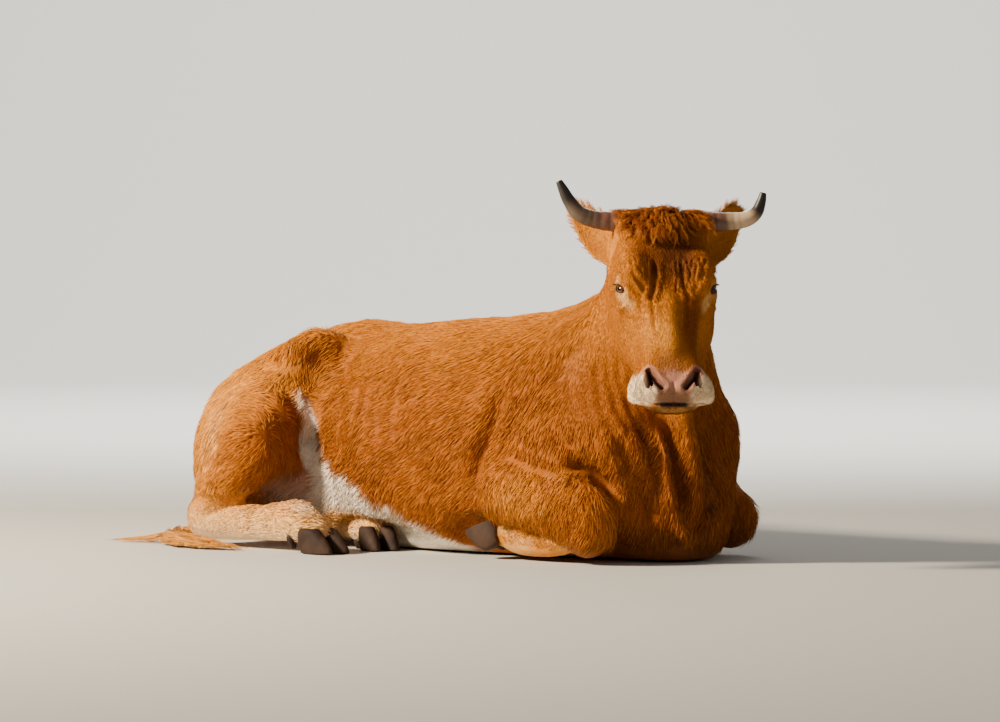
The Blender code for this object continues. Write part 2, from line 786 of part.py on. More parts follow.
def parted(source, name, inside, outside, triangles):
    """One node of the flesh: cut out with some to spare, thinned, then cut exactly."""
    spare = 0.012
    made = copy_of(source, name)
    if inside:
        combine(made, inside.solid(spare), "INTERSECT")
    for other in outside:
        combine(made, other.solid(-spare), "DIFFERENCE")
    keep_largest(made)
    thinned(made, triangles)
    if inside:
        combine(made, inside.solid(-GAP / 2), "INTERSECT")
    for other in outside:
        combine(made, other.solid(GAP / 2), "DIFFERENCE")
    floor_cut(made)
    return keep_largest(made)


def frame_of(origin, toe, up):
    """A placement whose x is the toe's way and whose z is near the given up."""
    x = Vector(toe).normalized()
    y = Vector(up).cross(x).normalized()
    z = x.cross(y)
    turn = Matrix((x, y, z)).transposed().to_4x4()
    return Matrix.Translation(Vector(origin)) @ turn


def claw(name, place, long, wide, high):
    """One claw: a flat sole, a steep wall that leans back from the toe, and a rounded coronet."""
    rings = []
    for level, heel, toe, half in (
        (0.00, 0.05, 0.98, 0.86),
        (0.08, 0.02, 1.00, 0.95),
        (0.45, -0.05, 0.87, 1.00),
        (0.82, -0.03, 0.66, 0.90),
        (1.00, 0.06, 0.52, 0.72),
    ):
        middle, reach = 0.5 * (heel + toe) * long, 0.5 * (toe - heel) * long
        ring = []
        for k in range(CLAW_SIDES):
            a = 2 * math.pi * k / CLAW_SIDES
            point = 1 - 0.25 * max(0, math.cos(a)) ** 3
            ring.append(place @ Vector((middle + reach * math.cos(a), 0.5 * wide * half * point * math.sin(a), level * high)))
        rings.append(ring)
    return closed_rings(name, rings)


def leaf(name, root, tip, opening, long_rows, place):
    """An ear: a cupped leaf from root to tip, open toward one side."""
    root, tip = Vector(root), Vector(tip)
    along = (tip - root).normalized()
    face = Vector(opening)
    face = (face - along * face.dot(along)).normalized()
    side = along.cross(face)
    rings = []
    for t, half, cup, thick, bend in smooth_rows(long_rows, 8):
        centre = root + (tip - root) * t + face * bend
        outer, inner = [], []
        for u in np.linspace(-1, 1, 7):
            curl = cup * (1 - u * u)
            outer.append(centre + side * half * u - face * (curl + thick * (1 - 0.7 * abs(u))))
            inner.append(centre + side * half * u * 0.96 - face * curl)
        rings.append([place @ p for p in outer + inner[::-1]])
    return closed_rings(name, rings)


def lower_limbs():
    """Cannon, fetlock and pastern of each leg, as rows of (x, y, z, half width, half depth)."""
    fore_right = [
        (0.530, -0.252, 0.075, 0.030, 0.030),
        (0.490, -0.252, 0.060, 0.034, 0.034),
        (0.430, -0.252, 0.044, 0.032, 0.034),
        (0.360, -0.251, 0.042, 0.033, 0.036),
        (0.305, -0.250, 0.052, 0.040, 0.044),
        (0.262, -0.250, 0.060, 0.034, 0.036),
        (0.235, -0.250, 0.062, 0.028, 0.030),
    ]
    fore_left = [(x + 0.010, -y - 0.030, z, a, b) for x, y, z, a, b in fore_right]
    hind_right = [
        (-0.655, -0.372, 0.070, 0.038, 0.058),
        (-0.590, -0.378, 0.066, 0.044, 0.056),
        (-0.500, -0.386, 0.062, 0.038, 0.048),
        (-0.400, -0.393, 0.062, 0.036, 0.045),
        (-0.320, -0.399, 0.070, 0.040, 0.052),
        (-0.275, -0.403, 0.072, 0.044, 0.054),
        (-0.235, -0.409, 0.060, 0.040, 0.044),
        (-0.205, -0.413, 0.050, 0.034, 0.034),
    ]
    hind_left = [
        (-0.600, -0.020, 0.060, 0.038, 0.048),
        (-0.520, -0.060, 0.056, 0.034, 0.042),
        (-0.420, -0.110, 0.050, 0.031, 0.038),
        (-0.330, -0.160, 0.052, 0.034, 0.042),
        (-0.270, -0.192, 0.054, 0.040, 0.044),
        (-0.225, -0.215, 0.048, 0.034, 0.036),
        (-0.200, -0.228, 0.044, 0.030, 0.030),
    ]
    return {
        "foreleg_right": (fore_right, (0, 1, 0)),
        "foreleg_left": (fore_left, (0, 1, 0)),
        "hindleg_right": (hind_right, (0, 1, 0)),
        "hindleg_left": (hind_left, (-0.45, 0.9, 0)),
    }


def feet():
    """Where each foot's pair of claws stands: middle of the heel, way of the toe, way up, and the size."""
    return {
        "foreleg_right": ((0.250, -0.250, 0.098), (-0.93, 0.0, -0.36), (0.36, 0.0, -0.93), (0.108, 0.050, 0.066)),
        "foreleg_left": ((0.260, 0.220, 0.098), (-0.93, 0.0, -0.36), (0.36, 0.0, -0.93), (0.108, 0.050, 0.066)),
        "hindleg_right": ((-0.236, -0.412, 0.0), (1.0, -0.06, 0.0), (0, 0, 1), (0.122, 0.050, 0.060)),
        "hindleg_left": ((-0.212, -0.224, 0.0), (0.92, -0.38, 0.0), (0, 0, 1), (0.105, 0.046, 0.058)),
    }


def dewclaw_places():
    """The two small claws behind each fetlock: the middle between them and the way they point."""
    return {
        "foreleg_right": ((0.292, -0.250, 0.092), (-0.60, 0.0, 0.80)),
        "foreleg_left": ((0.302, 0.220, 0.092), (-0.60, 0.0, 0.80)),
        "hindleg_right": ((-0.278, -0.406, 0.034), (0.35, 0.0, -0.94)),
        "hindleg_left": ((-0.262, -0.197, 0.016), (0.35, 0.0, -0.94)),
    }


def horn(side):
    """A horn that leaves the poll sideways, then turns up and forward to a blunt tip."""
    if side == RIGHT:
        path = [(-0.010, 0.150, -0.038), (-0.020, 0.190, -0.028), (-0.046, 0.214, -0.014), (-0.068, 0.228, 0.000)]
        tip = (-0.085, 0.238, 0.010)
    else:
        path = [(-0.008, 0.150, -0.038), (-0.010, 0.192, -0.033), (-0.022, 0.216, -0.024), (-0.042, 0.227, -0.010)]
        tip = (-0.060, 0.232, 0.004)
    path = [(0.000, 0.062, -0.038), (-0.006, 0.100, -0.040), *path, tip]
    thickness = (0.0245, 0.0240, 0.0205, 0.0180, 0.0150, 0.0115, 0.0075)
    rows = [(x, side * y, z, half, half) for (x, y, z), half in zip(path, thickness)]
    made = tube("horn_" + SIDE_NAME[side], rows, (1, 0, 0), steps=11, sides=11)
    made.data.transform(HEAD)
    return made


def ear(side):
    rows = [
        (0.00, 0.022, 0.012, 0.008, 0.000),
        (0.15, 0.034, 0.022, 0.006, 0.000),
        (0.40, 0.048, 0.026, 0.005, 0.000),
        (0.65, 0.044, 0.020, 0.004, 0.002),
        (0.85, 0.028, 0.010, 0.004, 0.006),
        (1.00, 0.008, 0.002, 0.004, 0.010),
    ]
    (root_x, root_y, root_z), (tip_x, tip_y, tip_z) = EAR_ROOT, EAR_TIP
    opening = (EAR_OPENING[0], side * EAR_OPENING[1], EAR_OPENING[2])
    name = "ear_" + SIDE_NAME[side]
    blade = leaf(name, (root_x, side * root_y, root_z), (tip_x, side * tip_y, tip_z), opening, rows, HEAD)
    return united(name, blade, ear_fringe(side))


EAR_ROOT = (0.082, 0.092, -0.072)
EAR_TIP = (-0.100, 0.190, -0.125)
EAR_OPENING = (0.30, 0.55, 0.75)
SWITCH_PATH = [
    (-0.752, -0.352, 0.022),
    (-0.722, -0.405, 0.024),
    (-0.675, -0.446, 0.026),
    (-0.610, -0.470, 0.022),
    (-0.550, -0.478, 0.014),
]
CROWN_CENTRE = (0.024, 0, -0.015)
CROWN_CORE = (0.056, 0.082, 0.026)
EYE_CENTRE = (0.174, 0.0940, -0.051)
EYE_RADIUS = 0.0200


def eye(side):
    work = bmesh.new()
    bmesh.ops.create_uvsphere(work, u_segments=12, v_segments=7, radius=EYE_RADIUS)
    made = object_from_bmesh("eye_" + SIDE_NAME[side], work)
    x, y, z = EYE_CENTRE
    made.data.transform(HEAD @ Matrix.Translation((x, side * y, z)))
    return made


def eyelids(side):
    """Upper and lower lid: two crescents round the ball of the eye, thick at the rim."""
    x, y, z = EYE_CENTRE
    centre = Vector((x, side * y, z))
    out = Vector((0.10, side * 0.83, 0.55)).normalized()
    across = Vector((1, 0, 0.0))
    across = (across - out * across.dot(out)).normalized()
    along = out.cross(across)
    if along.z < 0:
        along = -along
    parts = []
    for rise, low in ((-1, 12), (1, 20)):
        rows = []
        for turn in np.linspace(-75, 75, 9):
            a = math.radians(turn)
            b = math.radians(low + (90 - low) * (1 - math.cos(a)) * 0.35)
            way = across * rise * math.sin(b) * math.cos(a) + along * math.sin(a) + out * math.cos(b) * math.cos(a)
            place = centre + way.normalized() * (EYE_RADIUS - 0.0010)
            rows.append((*place, 0.0052, 0.0052))
        lid = tube("lid", rows, out, steps=7, sides=6)
        lid.data.transform(HEAD)
        parts.append(lid)
    return parts


def mouth_line():
    """A thin groove between the lips, round the front of the muzzle."""
    half = [(0.395, 0.084), (0.420, 0.092), (0.445, 0.087), (0.462, 0.066), (0.472, 0.035), (0.475, 0.0)]
    path = half + [(x, -y) for x, y in half[-2::-1]]
    rows = [(x, y, -0.104 - 0.9 * y * y, 0.0024, 0.012) for x, y in path]
    made = tube("mouth", rows, (0, 0, 1), steps=12, sides=5)
    made.data.transform(HEAD)
    return made


def nostril(side):
    rows = [
        (0.414, side * 0.060, -0.022, 0.0060, 0.0060),
        (0.428, side * 0.057, -0.030, 0.0100, 0.0100),
        (0.444, side * 0.047, -0.040, 0.0115, 0.0115),
        (0.458, side * 0.033, -0.050, 0.0080, 0.0080),
    ]
    made = tube("nostril", rows, (0, 1, 0), steps=6, sides=8)
    made.data.transform(HEAD)
    return made


def tail():
    rows = [
        (-0.780, 0.118, 0.450, 0.032, 0.032),
        (-0.860, 0.120, 0.440, 0.030, 0.030),
        (-0.902, 0.114, 0.375, 0.026, 0.026),
        (-0.918, 0.085, 0.265, 0.023, 0.023),
        (-0.900, 0.020, 0.145, 0.021, 0.021),
        (-0.872, -0.085, 0.050, 0.020, 0.020),
        (-0.830, -0.190, 0.026, 0.018, 0.018),
        (-0.790, -0.280, 0.022, 0.017, 0.017),
        (-0.745, -0.350, 0.022, 0.016, 0.016),
    ]
    return tube("tail", rows, (0, 1, 0.2), steps=18, sides=10)


def lock(root, way, length, width, lift, curl, thick=0.004, steps=3):
    """One flat lock of hair, broad at the root and pointed at the tip, that bends along its way."""
    way = Vector(way).normalized()
    lift = Vector(lift)
    lift = (lift - way * lift.dot(way)).normalized()
    side = way.cross(lift)
    rings = []
    for i in range(steps + 1):
        t = i / steps
        out = math.sin(math.pi * t) * 0.20 - 0.30 * t * t
        centre = Vector(root) + way * length * t + lift * length * out + side * curl * length * t * t
        half = 0.5 * width * (1 - 0.85 * t**1.6)
        deep = thick * (1 - 0.75 * t)
        rings.append([centre + side * half, centre + lift * deep, centre - side * half, centre - lift * deep])
    return closed_rings("lock", rings)


def united(name, core, locks):
    """A core and its locks as one closed solid."""
    group = bpy.data.collections.new(name + "_locks")
    bpy.context.scene.collection.children.link(group)
    for made in locks:
        bpy.context.scene.collection.objects.unlink(made)
        group.objects.link(made)
    change = core.modifiers.new("Union", "BOOLEAN")
    change.operation = "UNION"
    change.solver = "MANIFOLD"
    change.operand_type = "COLLECTION"
    change.collection = group
    bake(core)
    for made in list(group.objects):
        bpy.data.objects.remove(made)
    bpy.data.collections.remove(group)
    core.name = name
    return keep_largest(core)


def crown_point(angle, reach):
    """A point and an outward way on the top of the poll, by an angle round it and a share of its size."""
    x, y, z = CROWN_CENTRE
    long, wide, high = CROWN_CORE
    rise = math.sqrt(1 - reach * reach)
    return Vector((x + long * reach * math.cos(angle), y + wide * reach * math.sin(angle), z + high * rise))


def forelock():
    """The curly hair between the horns: rings of locks that fall outward and forward over the forehead."""
    draw = random.Random(FORELOCK_SEED)
    work = bmesh.new()
    bmesh.ops.create_uvsphere(work, u_segments=16, v_segments=8, radius=1)
    core = object_from_bmesh("forelock_core", work)
    core.data.transform(Matrix.Translation(CROWN_CENTRE) @ Matrix.Diagonal((*CROWN_CORE, 1)))
    locks = []
    for reach, count, length in ((0.20, 4, 0.050), (0.55, 8, 0.050), (0.86, 12, 0.046)):
        for k in range(count):
            angle = 2 * math.pi * (k + draw.uniform(-0.3, 0.3)) / count
            root = crown_point(angle, reach) - Vector((0, 0, 0.006))
            way = Vector((math.cos(angle) + 0.45, math.sin(angle), 0.05 - 0.55 * reach))
            size = length * draw.uniform(0.85, 1.15)
            curl = draw.uniform(-0.5, 0.5)
            locks.append(lock(root, way, size, draw.uniform(0.026, 0.034), (0, 0, 1), curl, 0.007))
    made = united("forelock", core, locks)
    made.data.transform(HEAD)
    return made


def ear_fringe(side):
    """Locks along the outer rim and from inside the cup of an ear, toward its tip and outward."""
    draw = random.Random(FRINGE_SEED + side)
    root, tip = Vector(EAR_ROOT), Vector(EAR_TIP)
    root.y *= side
    tip.y *= side
    along = (tip - root).normalized()
    face = Vector((EAR_OPENING[0], side * EAR_OPENING[1], EAR_OPENING[2]))
    face = (face - along * face.dot(along)).normalized()
    outward = along.cross(face)
    if outward.x < 0:
        outward = -outward
    locks = []
    for k in range(6):
        t = 0.16 + 0.13 * k
        half = 0.047 * math.sin(math.pi * min(1.0, 0.15 + 0.80 * t))
        start = root + (tip - root) * t + outward * half * 0.60 - face * 0.006
        way = along * 1.1 + outward * draw.uniform(0.45, 0.75) + face * draw.uniform(0.0, 0.2)
        locks.append(lock(start, way, draw.uniform(0.046, 0.058), 0.026, face, draw.uniform(0.0, 0.35), 0.0035))
    for made in locks:
        made.data.transform(HEAD)
    return locks


def tail_switch():
    """The long hair at the tail's end, which lies on the ground by the near hock."""
    draw = random.Random(SWITCH_SEED)
    path = [Vector(p) for p in SWITCH_PATH]
    core_rows = [(*place, half, half) for place, half in zip(path, (0.016, 0.024, 0.027, 0.022, 0.012))]
    core = tube("switch_core", core_rows, (0.5, 0.8, 0), steps=7, sides=8)
    locks = []
    for k in range(12):
        t = k / 11 * (len(path) - 1.001)
        place = path[int(t)].lerp(path[int(t) + 1], t - int(t))
        turn = math.radians(-112 + 115 * k / 11 + draw.uniform(-14, 14))
        size = draw.uniform(0.075, 0.105)
        wide = draw.uniform(0.034, 0.044)
        if k in (0, 2):
            turn = math.radians(-136 - 6 * k)
            size = 0.160 - 0.03 * k
        way = Vector((math.cos(turn), math.sin(turn), draw.uniform(-0.10, 0.02)))
        lift = Vector((0.7 + draw.uniform(-0.4, 0.4), -1, draw.uniform(0.2, 0.9)))
        locks.append(lock(place, way, size, wide, lift, draw.uniform(-0.15, 0.25), 0.012, 4))
    return united("tail_switch", core, locks)


def painted(made, colour, roughness):
    material = bpy.data.materials.new(made.name)
    material.use_nodes = True
    shader = material.node_tree.nodes["Principled BSDF"]
    shader.inputs["Base Color"].default_value = (*colour, 1)
    shader.inputs["Roughness"].default_value = roughness
    shader.inputs["Metallic"].default_value = 0.0
    made.data.materials.clear()
    made.data.materials.append(material)


COLOURS = {
    "chestnut": ((0.42, 0.15, 0.04), 0.85),
    "cream": ((0.62, 0.38, 0.16), 0.85),
    "horn": ((0.22, 0.17, 0.13), 0.45),
    "hoof": ((0.10, 0.085, 0.08), 0.55),
    "eye": ((0.02, 0.010, 0.006), 0.08),
}


def build():
    clear_scene()
    low, high = (-1.05, -0.65, -0.06), (0.90, 0.60, 0.95)
    body = eased(flesh(low, high, BODY_STEP).surface("body"), BODY_STEP, 6)
    face = eased(flesh((0.36, -0.62, 0.16), (1.12, 0.22, 0.96), HEAD_STEP).surface("face"), HEAD_STEP, 3)
    nodes = {}

    def keep(made, colour):
        nodes[made.name] = made
        painted(made, *COLOURS[colour])
        return made

    head = parted(face, "head", HEAD_CUT, [], 1750)
    neck_node = parted(body, "neck", NECK_CUT, [HEAD_CUT], 740)
    upper = {}
    for side in (RIGHT, LEFT):
        upper["foreleg_" + SIDE_NAME[side]] = parted(
            body, "foreleg_" + SIDE_NAME[side] + "_upper", FORE_CUT[side], [], 430
        )
        upper["hindleg_" + SIDE_NAME[side]] = parted(
            body, "hindleg_" + SIDE_NAME[side] + "_upper", HIND_CUT[side], [], 600
        )
    others = [NECK_CUT, HEAD_CUT, *FORE_CUT.values(), *HIND_CUT.values()]
    torso = parted(body, "torso", None, others, 2150)
    for name, limb in upper.items():
        keep(limb, "chestnut")
    keep(torso, "chestnut")
    keep(neck_node, "chestnut")

    for side in (RIGHT, LEFT):
        combine(head, nostril(side), "DIFFERENCE")
        for lid in eyelids(side):
            combine(head, lid, "UNION")
    combine(head, mouth_line(), "DIFFERENCE")
    for side in (RIGHT, LEFT):
        eyeball = keep(eye(side), "eye")
        combine(head, grown(eyeball, GAP), "DIFFERENCE")
    keep_largest(head)
    keep(head, "chestnut")
    def attach(made, colour):
        return keep(fitted(made, list(nodes.values())), colour)

    attach(forelock(), "chestnut")
    for side in (RIGHT, LEFT):
        attach(horn(side), "horn")
        attach(ear(side), "chestnut")
    for leg, (rows, side) in lower_limbs().items():
        attach(floor_cut(tube(leg + "_lower", rows, side, steps=11, sides=12)), "cream")
    for leg, (heel, toe, up, (long, wide, high)) in feet().items():
        own = LEFT if "left" in leg else RIGHT
        for name, offset in (("outer", own), ("inner", -own)):
            place = frame_of(heel, toe, up)
            lateral = place.to_3x3() @ Vector((0, 1, 0))
            sign = offset if lateral.y > 0 else -offset
            place = Matrix.Translation(lateral * sign * (0.5 * wide + 0.0012)) @ place
            attach(floor_cut(claw(leg.replace("leg", "claw") + "_" + name, place, long, wide, high)), "hoof")
    for leg, (middle, way) in dewclaw_places().items():
        own = LEFT if "left" in leg else RIGHT
        for name, offset in (("outer", own), ("inner", -own)):
            start = Vector(middle) + Vector((0, offset * 0.022, 0))
            end = start + Vector(way) * 0.024
            rows = [(*start, 0.014, 0.012), (*(0.5 * (start + end)), 0.012, 0.010), (*end, 0.007, 0.006)]
            made = tube(leg.replace("leg", "dewclaw") + "_" + name, rows, (0, 1, 0), steps=3, sides=8)
            attach(floor_cut(made), "hoof")
    attach(floor_cut(tail()), "chestnut")
    attach(floor_cut(tail_switch()), "cream")

    bpy.data.objects.remove(body)
    bpy.data.objects.remove(face)
    centre_on_floor(nodes.values())


def centre_on_floor(made):
    """Everything moved so that the origin is the middle of the box's bottom."""
    corners = [vert.co for part in made for vert in part.data.vertices]
    low = [min(c[i] for c in corners) for i in range(3)]
    high = [max(c[i] for c in corners) for i in range(3)]
    shift = Matrix.Translation((-0.5 * (low[0] + high[0]), -0.5 * (low[1] + high[1]), -low[2]))
    for part in made:
        part.data.transform(shift)


build()
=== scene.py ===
# %% [markdown]
# # A resting ox, dressed for a museum hall
# The solids give the pose, the proportions and the parts of the animal. This script lays a skin
# over them, sculpts what is too fine for solids, and sets the coat on it tuft by tuft.
# All lengths are in metres, +X is the way the ox faces, +Y its left and +Z up.

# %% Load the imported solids
import math
import random
from contextlib import contextmanager

import bmesh
import bpy
import numpy as np
from mathutils import Matrix, Vector
from mathutils.bvhtree import BVHTree


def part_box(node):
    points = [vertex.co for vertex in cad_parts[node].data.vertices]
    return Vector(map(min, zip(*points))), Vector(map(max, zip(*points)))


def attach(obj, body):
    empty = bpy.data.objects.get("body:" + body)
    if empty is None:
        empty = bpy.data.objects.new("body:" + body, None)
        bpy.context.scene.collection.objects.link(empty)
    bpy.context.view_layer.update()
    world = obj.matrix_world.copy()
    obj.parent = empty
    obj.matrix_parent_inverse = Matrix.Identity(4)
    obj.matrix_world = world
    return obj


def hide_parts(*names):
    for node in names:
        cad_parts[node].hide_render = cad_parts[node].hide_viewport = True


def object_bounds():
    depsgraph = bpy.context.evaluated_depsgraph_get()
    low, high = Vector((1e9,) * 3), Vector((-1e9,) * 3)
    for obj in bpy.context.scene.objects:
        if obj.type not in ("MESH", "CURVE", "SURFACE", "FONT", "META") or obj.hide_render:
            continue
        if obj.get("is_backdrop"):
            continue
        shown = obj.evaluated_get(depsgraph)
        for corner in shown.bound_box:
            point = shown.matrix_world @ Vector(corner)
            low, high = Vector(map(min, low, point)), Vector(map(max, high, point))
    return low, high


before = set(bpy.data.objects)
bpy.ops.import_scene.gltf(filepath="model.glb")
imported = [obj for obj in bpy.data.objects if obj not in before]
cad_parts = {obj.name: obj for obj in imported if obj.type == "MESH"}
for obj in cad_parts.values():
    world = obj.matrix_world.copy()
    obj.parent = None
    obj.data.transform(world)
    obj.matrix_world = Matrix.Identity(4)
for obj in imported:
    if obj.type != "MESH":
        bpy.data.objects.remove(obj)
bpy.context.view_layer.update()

SIDES = {"right": -1, "left": 1}

# %% [markdown]
# ## The head's own axes
# x runs down the face from the poll, y to the ox's left and z out of the forehead. The same
# sizes were used for the solids, and one eye says how far the whole animal was moved to stand
# at the middle of the floor.

# %% Head axes
POLL = Vector((0.672, -0.157, 0.802))
HEAD_TURN, HEAD_TILT, FACE_LEAN = math.radians(-41.5), math.radians(-0.3), math.radians(34.0)
EYE = Vector((0.174, 0.094, -0.051))
EYE_RADIUS = 0.02

turn = Matrix.Rotation(HEAD_TURN, 4, "Z") @ Matrix.Rotation(HEAD_TILT, 4, "X")
turn = turn @ Matrix.Rotation(math.pi / 2 - FACE_LEAN, 4, "Y")
eye_low, eye_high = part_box("eye_right")
landmark_eye = Matrix.Translation(POLL) @ turn @ Vector((EYE.x, -EYE.y, EYE.z))
MOVED = (eye_low + eye_high) / 2 - landmark_eye
MOVED.z = 0
HEAD = Matrix.Translation(POLL + MOVED) @ turn
TO_HEAD = HEAD.inverted()
print("moved by", [round(v, 4) for v in MOVED])


def as_array(mesh, attribute="co"):
    found = np.empty(len(mesh.vertices) * 3, np.float32)
    mesh.vertices.foreach_get(attribute, found)
    return found.reshape(-1, 3).astype(np.float64)


def new_object(name, data):
    """An object with this data, in the scene."""
    made = bpy.data.objects.new(name, data)
    bpy.context.scene.collection.objects.link(made)
    return made


@contextmanager
def edited(mesh):
    """The mesh open in bmesh, written back at the end."""
    work = bmesh.new()
    work.from_mesh(mesh)
    yield work
    work.to_mesh(mesh)
    work.free()


def clothed(piece, material):
    """A piece with one material and smooth faces."""
    piece.data.materials.clear()
    piece.data.materials.append(material)
    piece.data.polygons.foreach_set("use_smooth", np.ones(len(piece.data.polygons), bool))
    return piece


def handed_in(piece, replaced=()):
    """Attaches a still piece to the root body and hides the solids that it stands for."""
    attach(piece, "root")
    if replaced:
        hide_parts(*replaced)


def nodes_with(word):
    return [name for name in sorted(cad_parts) if word in name]


def in_head(points):
    """Points in the head's own axes."""
    return points @ np.array(TO_HEAD)[:3, :3].T + np.array(TO_HEAD)[:3, 3]


def in_body(points):
    """Points before the animal was moved to the middle of the floor."""
    return points - np.array(MOVED)


def smooth(value):
    value = np.clip(value, 0.0, 1.0)
    return value * value * (3 - 2 * value)


def rise(value, start, over):
    """0 up to start, then softly up to 1 over a distance."""
    return smooth((value - start) / over)


def fall(value, end, over):
    """1 at first, then softly down to 0 at end, over a distance."""
    return smooth((end - value) / over)


def near(points, centre, radii, soft=0.5):
    """1 inside an ellipsoid, falling to 0 at its border over a share of its radius."""
    away = np.linalg.norm((points - np.array(centre)) / np.array(radii), axis=1)
    return smooth((1 - away) / soft)


def from_path(points, path):
    """Distance of each point to a line through a few points, and how far along it that is."""
    path = np.array(path, float)
    best = np.full(len(points), 1e9)
    share = np.zeros(len(points))
    for i, (a, b) in enumerate(zip(path[:-1], path[1:])):
        t = np.clip((points - a) @ (b - a) / ((b - a) @ (b - a)), 0, 1)
        away = np.linalg.norm(points - a - t[:, None] * (b - a), axis=1)
        closer = away < best
        best[closer] = away[closer]
        share[closer] = (i + t[closer]) / (len(path) - 1)
    return best, share


def ripple(points, size, seed):
    """A soft noise from -1 to 1 whose bumps are about size across."""
    draw = np.random.default_rng(seed)
    total = np.zeros(len(points))
    for _ in range(7):
        wave = draw.normal(size=3)
        wave /= np.linalg.norm(wave)
        length = size * draw.uniform(0.8, 1.8)
        total += np.sin(points @ wave * 2 * math.pi / length + draw.uniform(0, 6.3))
    return np.clip(total / 3.2, -1, 1)


# %% [markdown]
# ## Floor, light and camera
# The animal lies on a plain pale floor that curves up behind it. The main light is a warm
# lamp high on the viewer's left, as the sun stands in the photo. A weak fill, a light from behind
# and a wide wash of the backdrop complete it.

# %% Floor and backdrop
AIM_TURN = math.radians(44.0)
AWAY = 12.0
CAMERA_HEIGHT = 0.7786
PITCH = math.radians(1.56)

ARC_START, ARC_RADIUS, ARC_STEPS = 12.6, 7.0, 16
FLOOR_HALF, FLOOR_FRONT, WALL_TOP = 24.0, -22.0, 15.0
UNDER_FLOOR = -0.0005
profile = [(FLOOR_FRONT, 0.0), (0.0, 0.0)]
for step in range(ARC_STEPS + 1):
    bend = math.pi / 2 * step / ARC_STEPS
    profile.append((ARC_START + ARC_RADIUS * math.sin(bend), ARC_RADIUS * (1 - math.cos(bend))))
profile.append((ARC_START + ARC_RADIUS, WALL_TOP))
floor = new_object("floor", bpy.data.meshes.new("floor"))
with edited(floor.data) as work:
    rows = [[work.verts.new((way, y, z)) for y, z in profile] for way in (-FLOOR_HALF, FLOOR_HALF)]
    for i in range(len(profile) - 1):
        work.faces.new((rows[0][i], rows[1][i], rows[1][i + 1], rows[0][i + 1]))
floor.data.transform(Matrix.Rotation(AIM_TURN, 4, "Z"))
floor.data.transform(Matrix.Translation((0, 0, UNDER_FLOOR)))
plain = bpy.data.materials.new("floor")
plain.use_nodes = True
shader = plain.node_tree.nodes["Principled BSDF"]
shader.inputs["Base Color"].default_value = (0.56, 0.55, 0.52, 1)
shader.inputs["Roughness"].default_value = 0.9
clothed(floor, plain)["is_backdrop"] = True

# %% Lights and camera
LAMPS = [
    # name, azimuth, height, distance, size, watts, colour, aim
    ("key_lamp", -28, 3.2, 5.0, 0.8, 1010, (1.0, 0.85, 0.63), (0, 0, 0.4)),
    ("fill_lamp", 95, 2.4, 5.5, 3.0, 10, (1.0, 0.94, 0.86), (0, 0, 0.4)),
    ("back_lamp", 215, 3.8, 5.0, 2.5, 90, (1.0, 0.96, 0.9), (0, 0, 0.4)),
    ("wall_lamp", 224, 8.5, 6.0, 8.0, 4200, (1.0, 0.98, 0.95), (-13.0, 13.5, 2.0)),
]
for name, azimuth, height, distance, size, watts, colour, aim in LAMPS:
    light = bpy.data.lights.new(name, "AREA")
    light.size = size
    light.energy = watts
    light.color = colour
    made = new_object(name, light)
    way = math.radians(azimuth)
    made.location = Vector((math.sin(way) * distance, -math.cos(way) * distance, height))
    made.rotation_mode = "QUATERNION"
    made.rotation_quaternion = (Vector(aim) - made.location).to_track_quat("-Z", "Y")
    made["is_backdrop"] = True

ROOM_LIGHT = 0.21
world = bpy.context.scene.world or bpy.data.worlds.new("room")
bpy.context.scene.world = world
world.use_nodes = True
world.node_tree.nodes["Background"].inputs["Color"].default_value = (1.0, 0.97, 0.92, 1)
world.node_tree.nodes["Background"].inputs["Strength"].default_value = ROOM_LIGHT

LENS, SENSOR = 180, 36
NEAREST, FARTHEST = 0.5, 80
lens = bpy.data.cameras.new("camera")
lens.lens, lens.sensor_width = LENS, SENSOR
lens.clip_start, lens.clip_end = NEAREST, FARTHEST
camera = new_object("camera", lens)
back = Vector((math.sin(AIM_TURN), -math.cos(AIM_TURN), 0))
camera.location = MOVED + back * AWAY + Vector((0, 0, CAMERA_HEIGHT))
camera.rotation_mode = "XYZ"
camera.rotation_euler = (math.pi / 2 - PITCH, 0, AIM_TURN)
bpy.context.scene.camera = camera
camera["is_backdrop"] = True

# %% [markdown]
# ## The skin
# One closed skin takes the place of every node of flesh. Copies of the solids, each puffed by
# half a millimetre so that they meet, are read as one volume on a 4.8 mm grid. Facets are then
# eased away, more on the barrel than on the face, and the skin is sunk by the depth of the coat.

# %% Ears, built finer than the solids
EAR_ROOT = (0.082, 0.092, -0.072)
EAR_TIP = (-0.1, 0.19, -0.125)
EAR_OPENING = (0.3, 0.55, 0.75)
EAR_ROWS = np.array([
    # share of the length, half width, depth of the cup, thickness, bend
    (0.00, 0.022, 0.012, 0.0080, 0.000),
    (0.15, 0.034, 0.022, 0.0065, 0.000),
    (0.40, 0.046, 0.026, 0.0060, 0.000),
    (0.65, 0.042, 0.020, 0.0055, 0.002),
    (0.85, 0.026, 0.010, 0.0050, 0.006),
    (1.00, 0.006, 0.002, 0.0040, 0.012),
])


def mesh_object(name, points, faces):
    mesh = bpy.data.meshes.new(name)
    mesh.from_pydata([tuple(p) for p in points], [], [tuple(f) for f in faces])
    mesh.update()
    return new_object(name, mesh)


def bands(rows, count, closed=False):
    """Quads between neighbouring rings, and from the last to the first if closed."""
    faces = []
    for i in range(rows if closed else rows - 1):
        j = (i + 1) % rows
        for k in range(count):
            n = (k + 1) % count
            faces.append((i * count + k, i * count + n, j * count + n, j * count + k))
    return faces


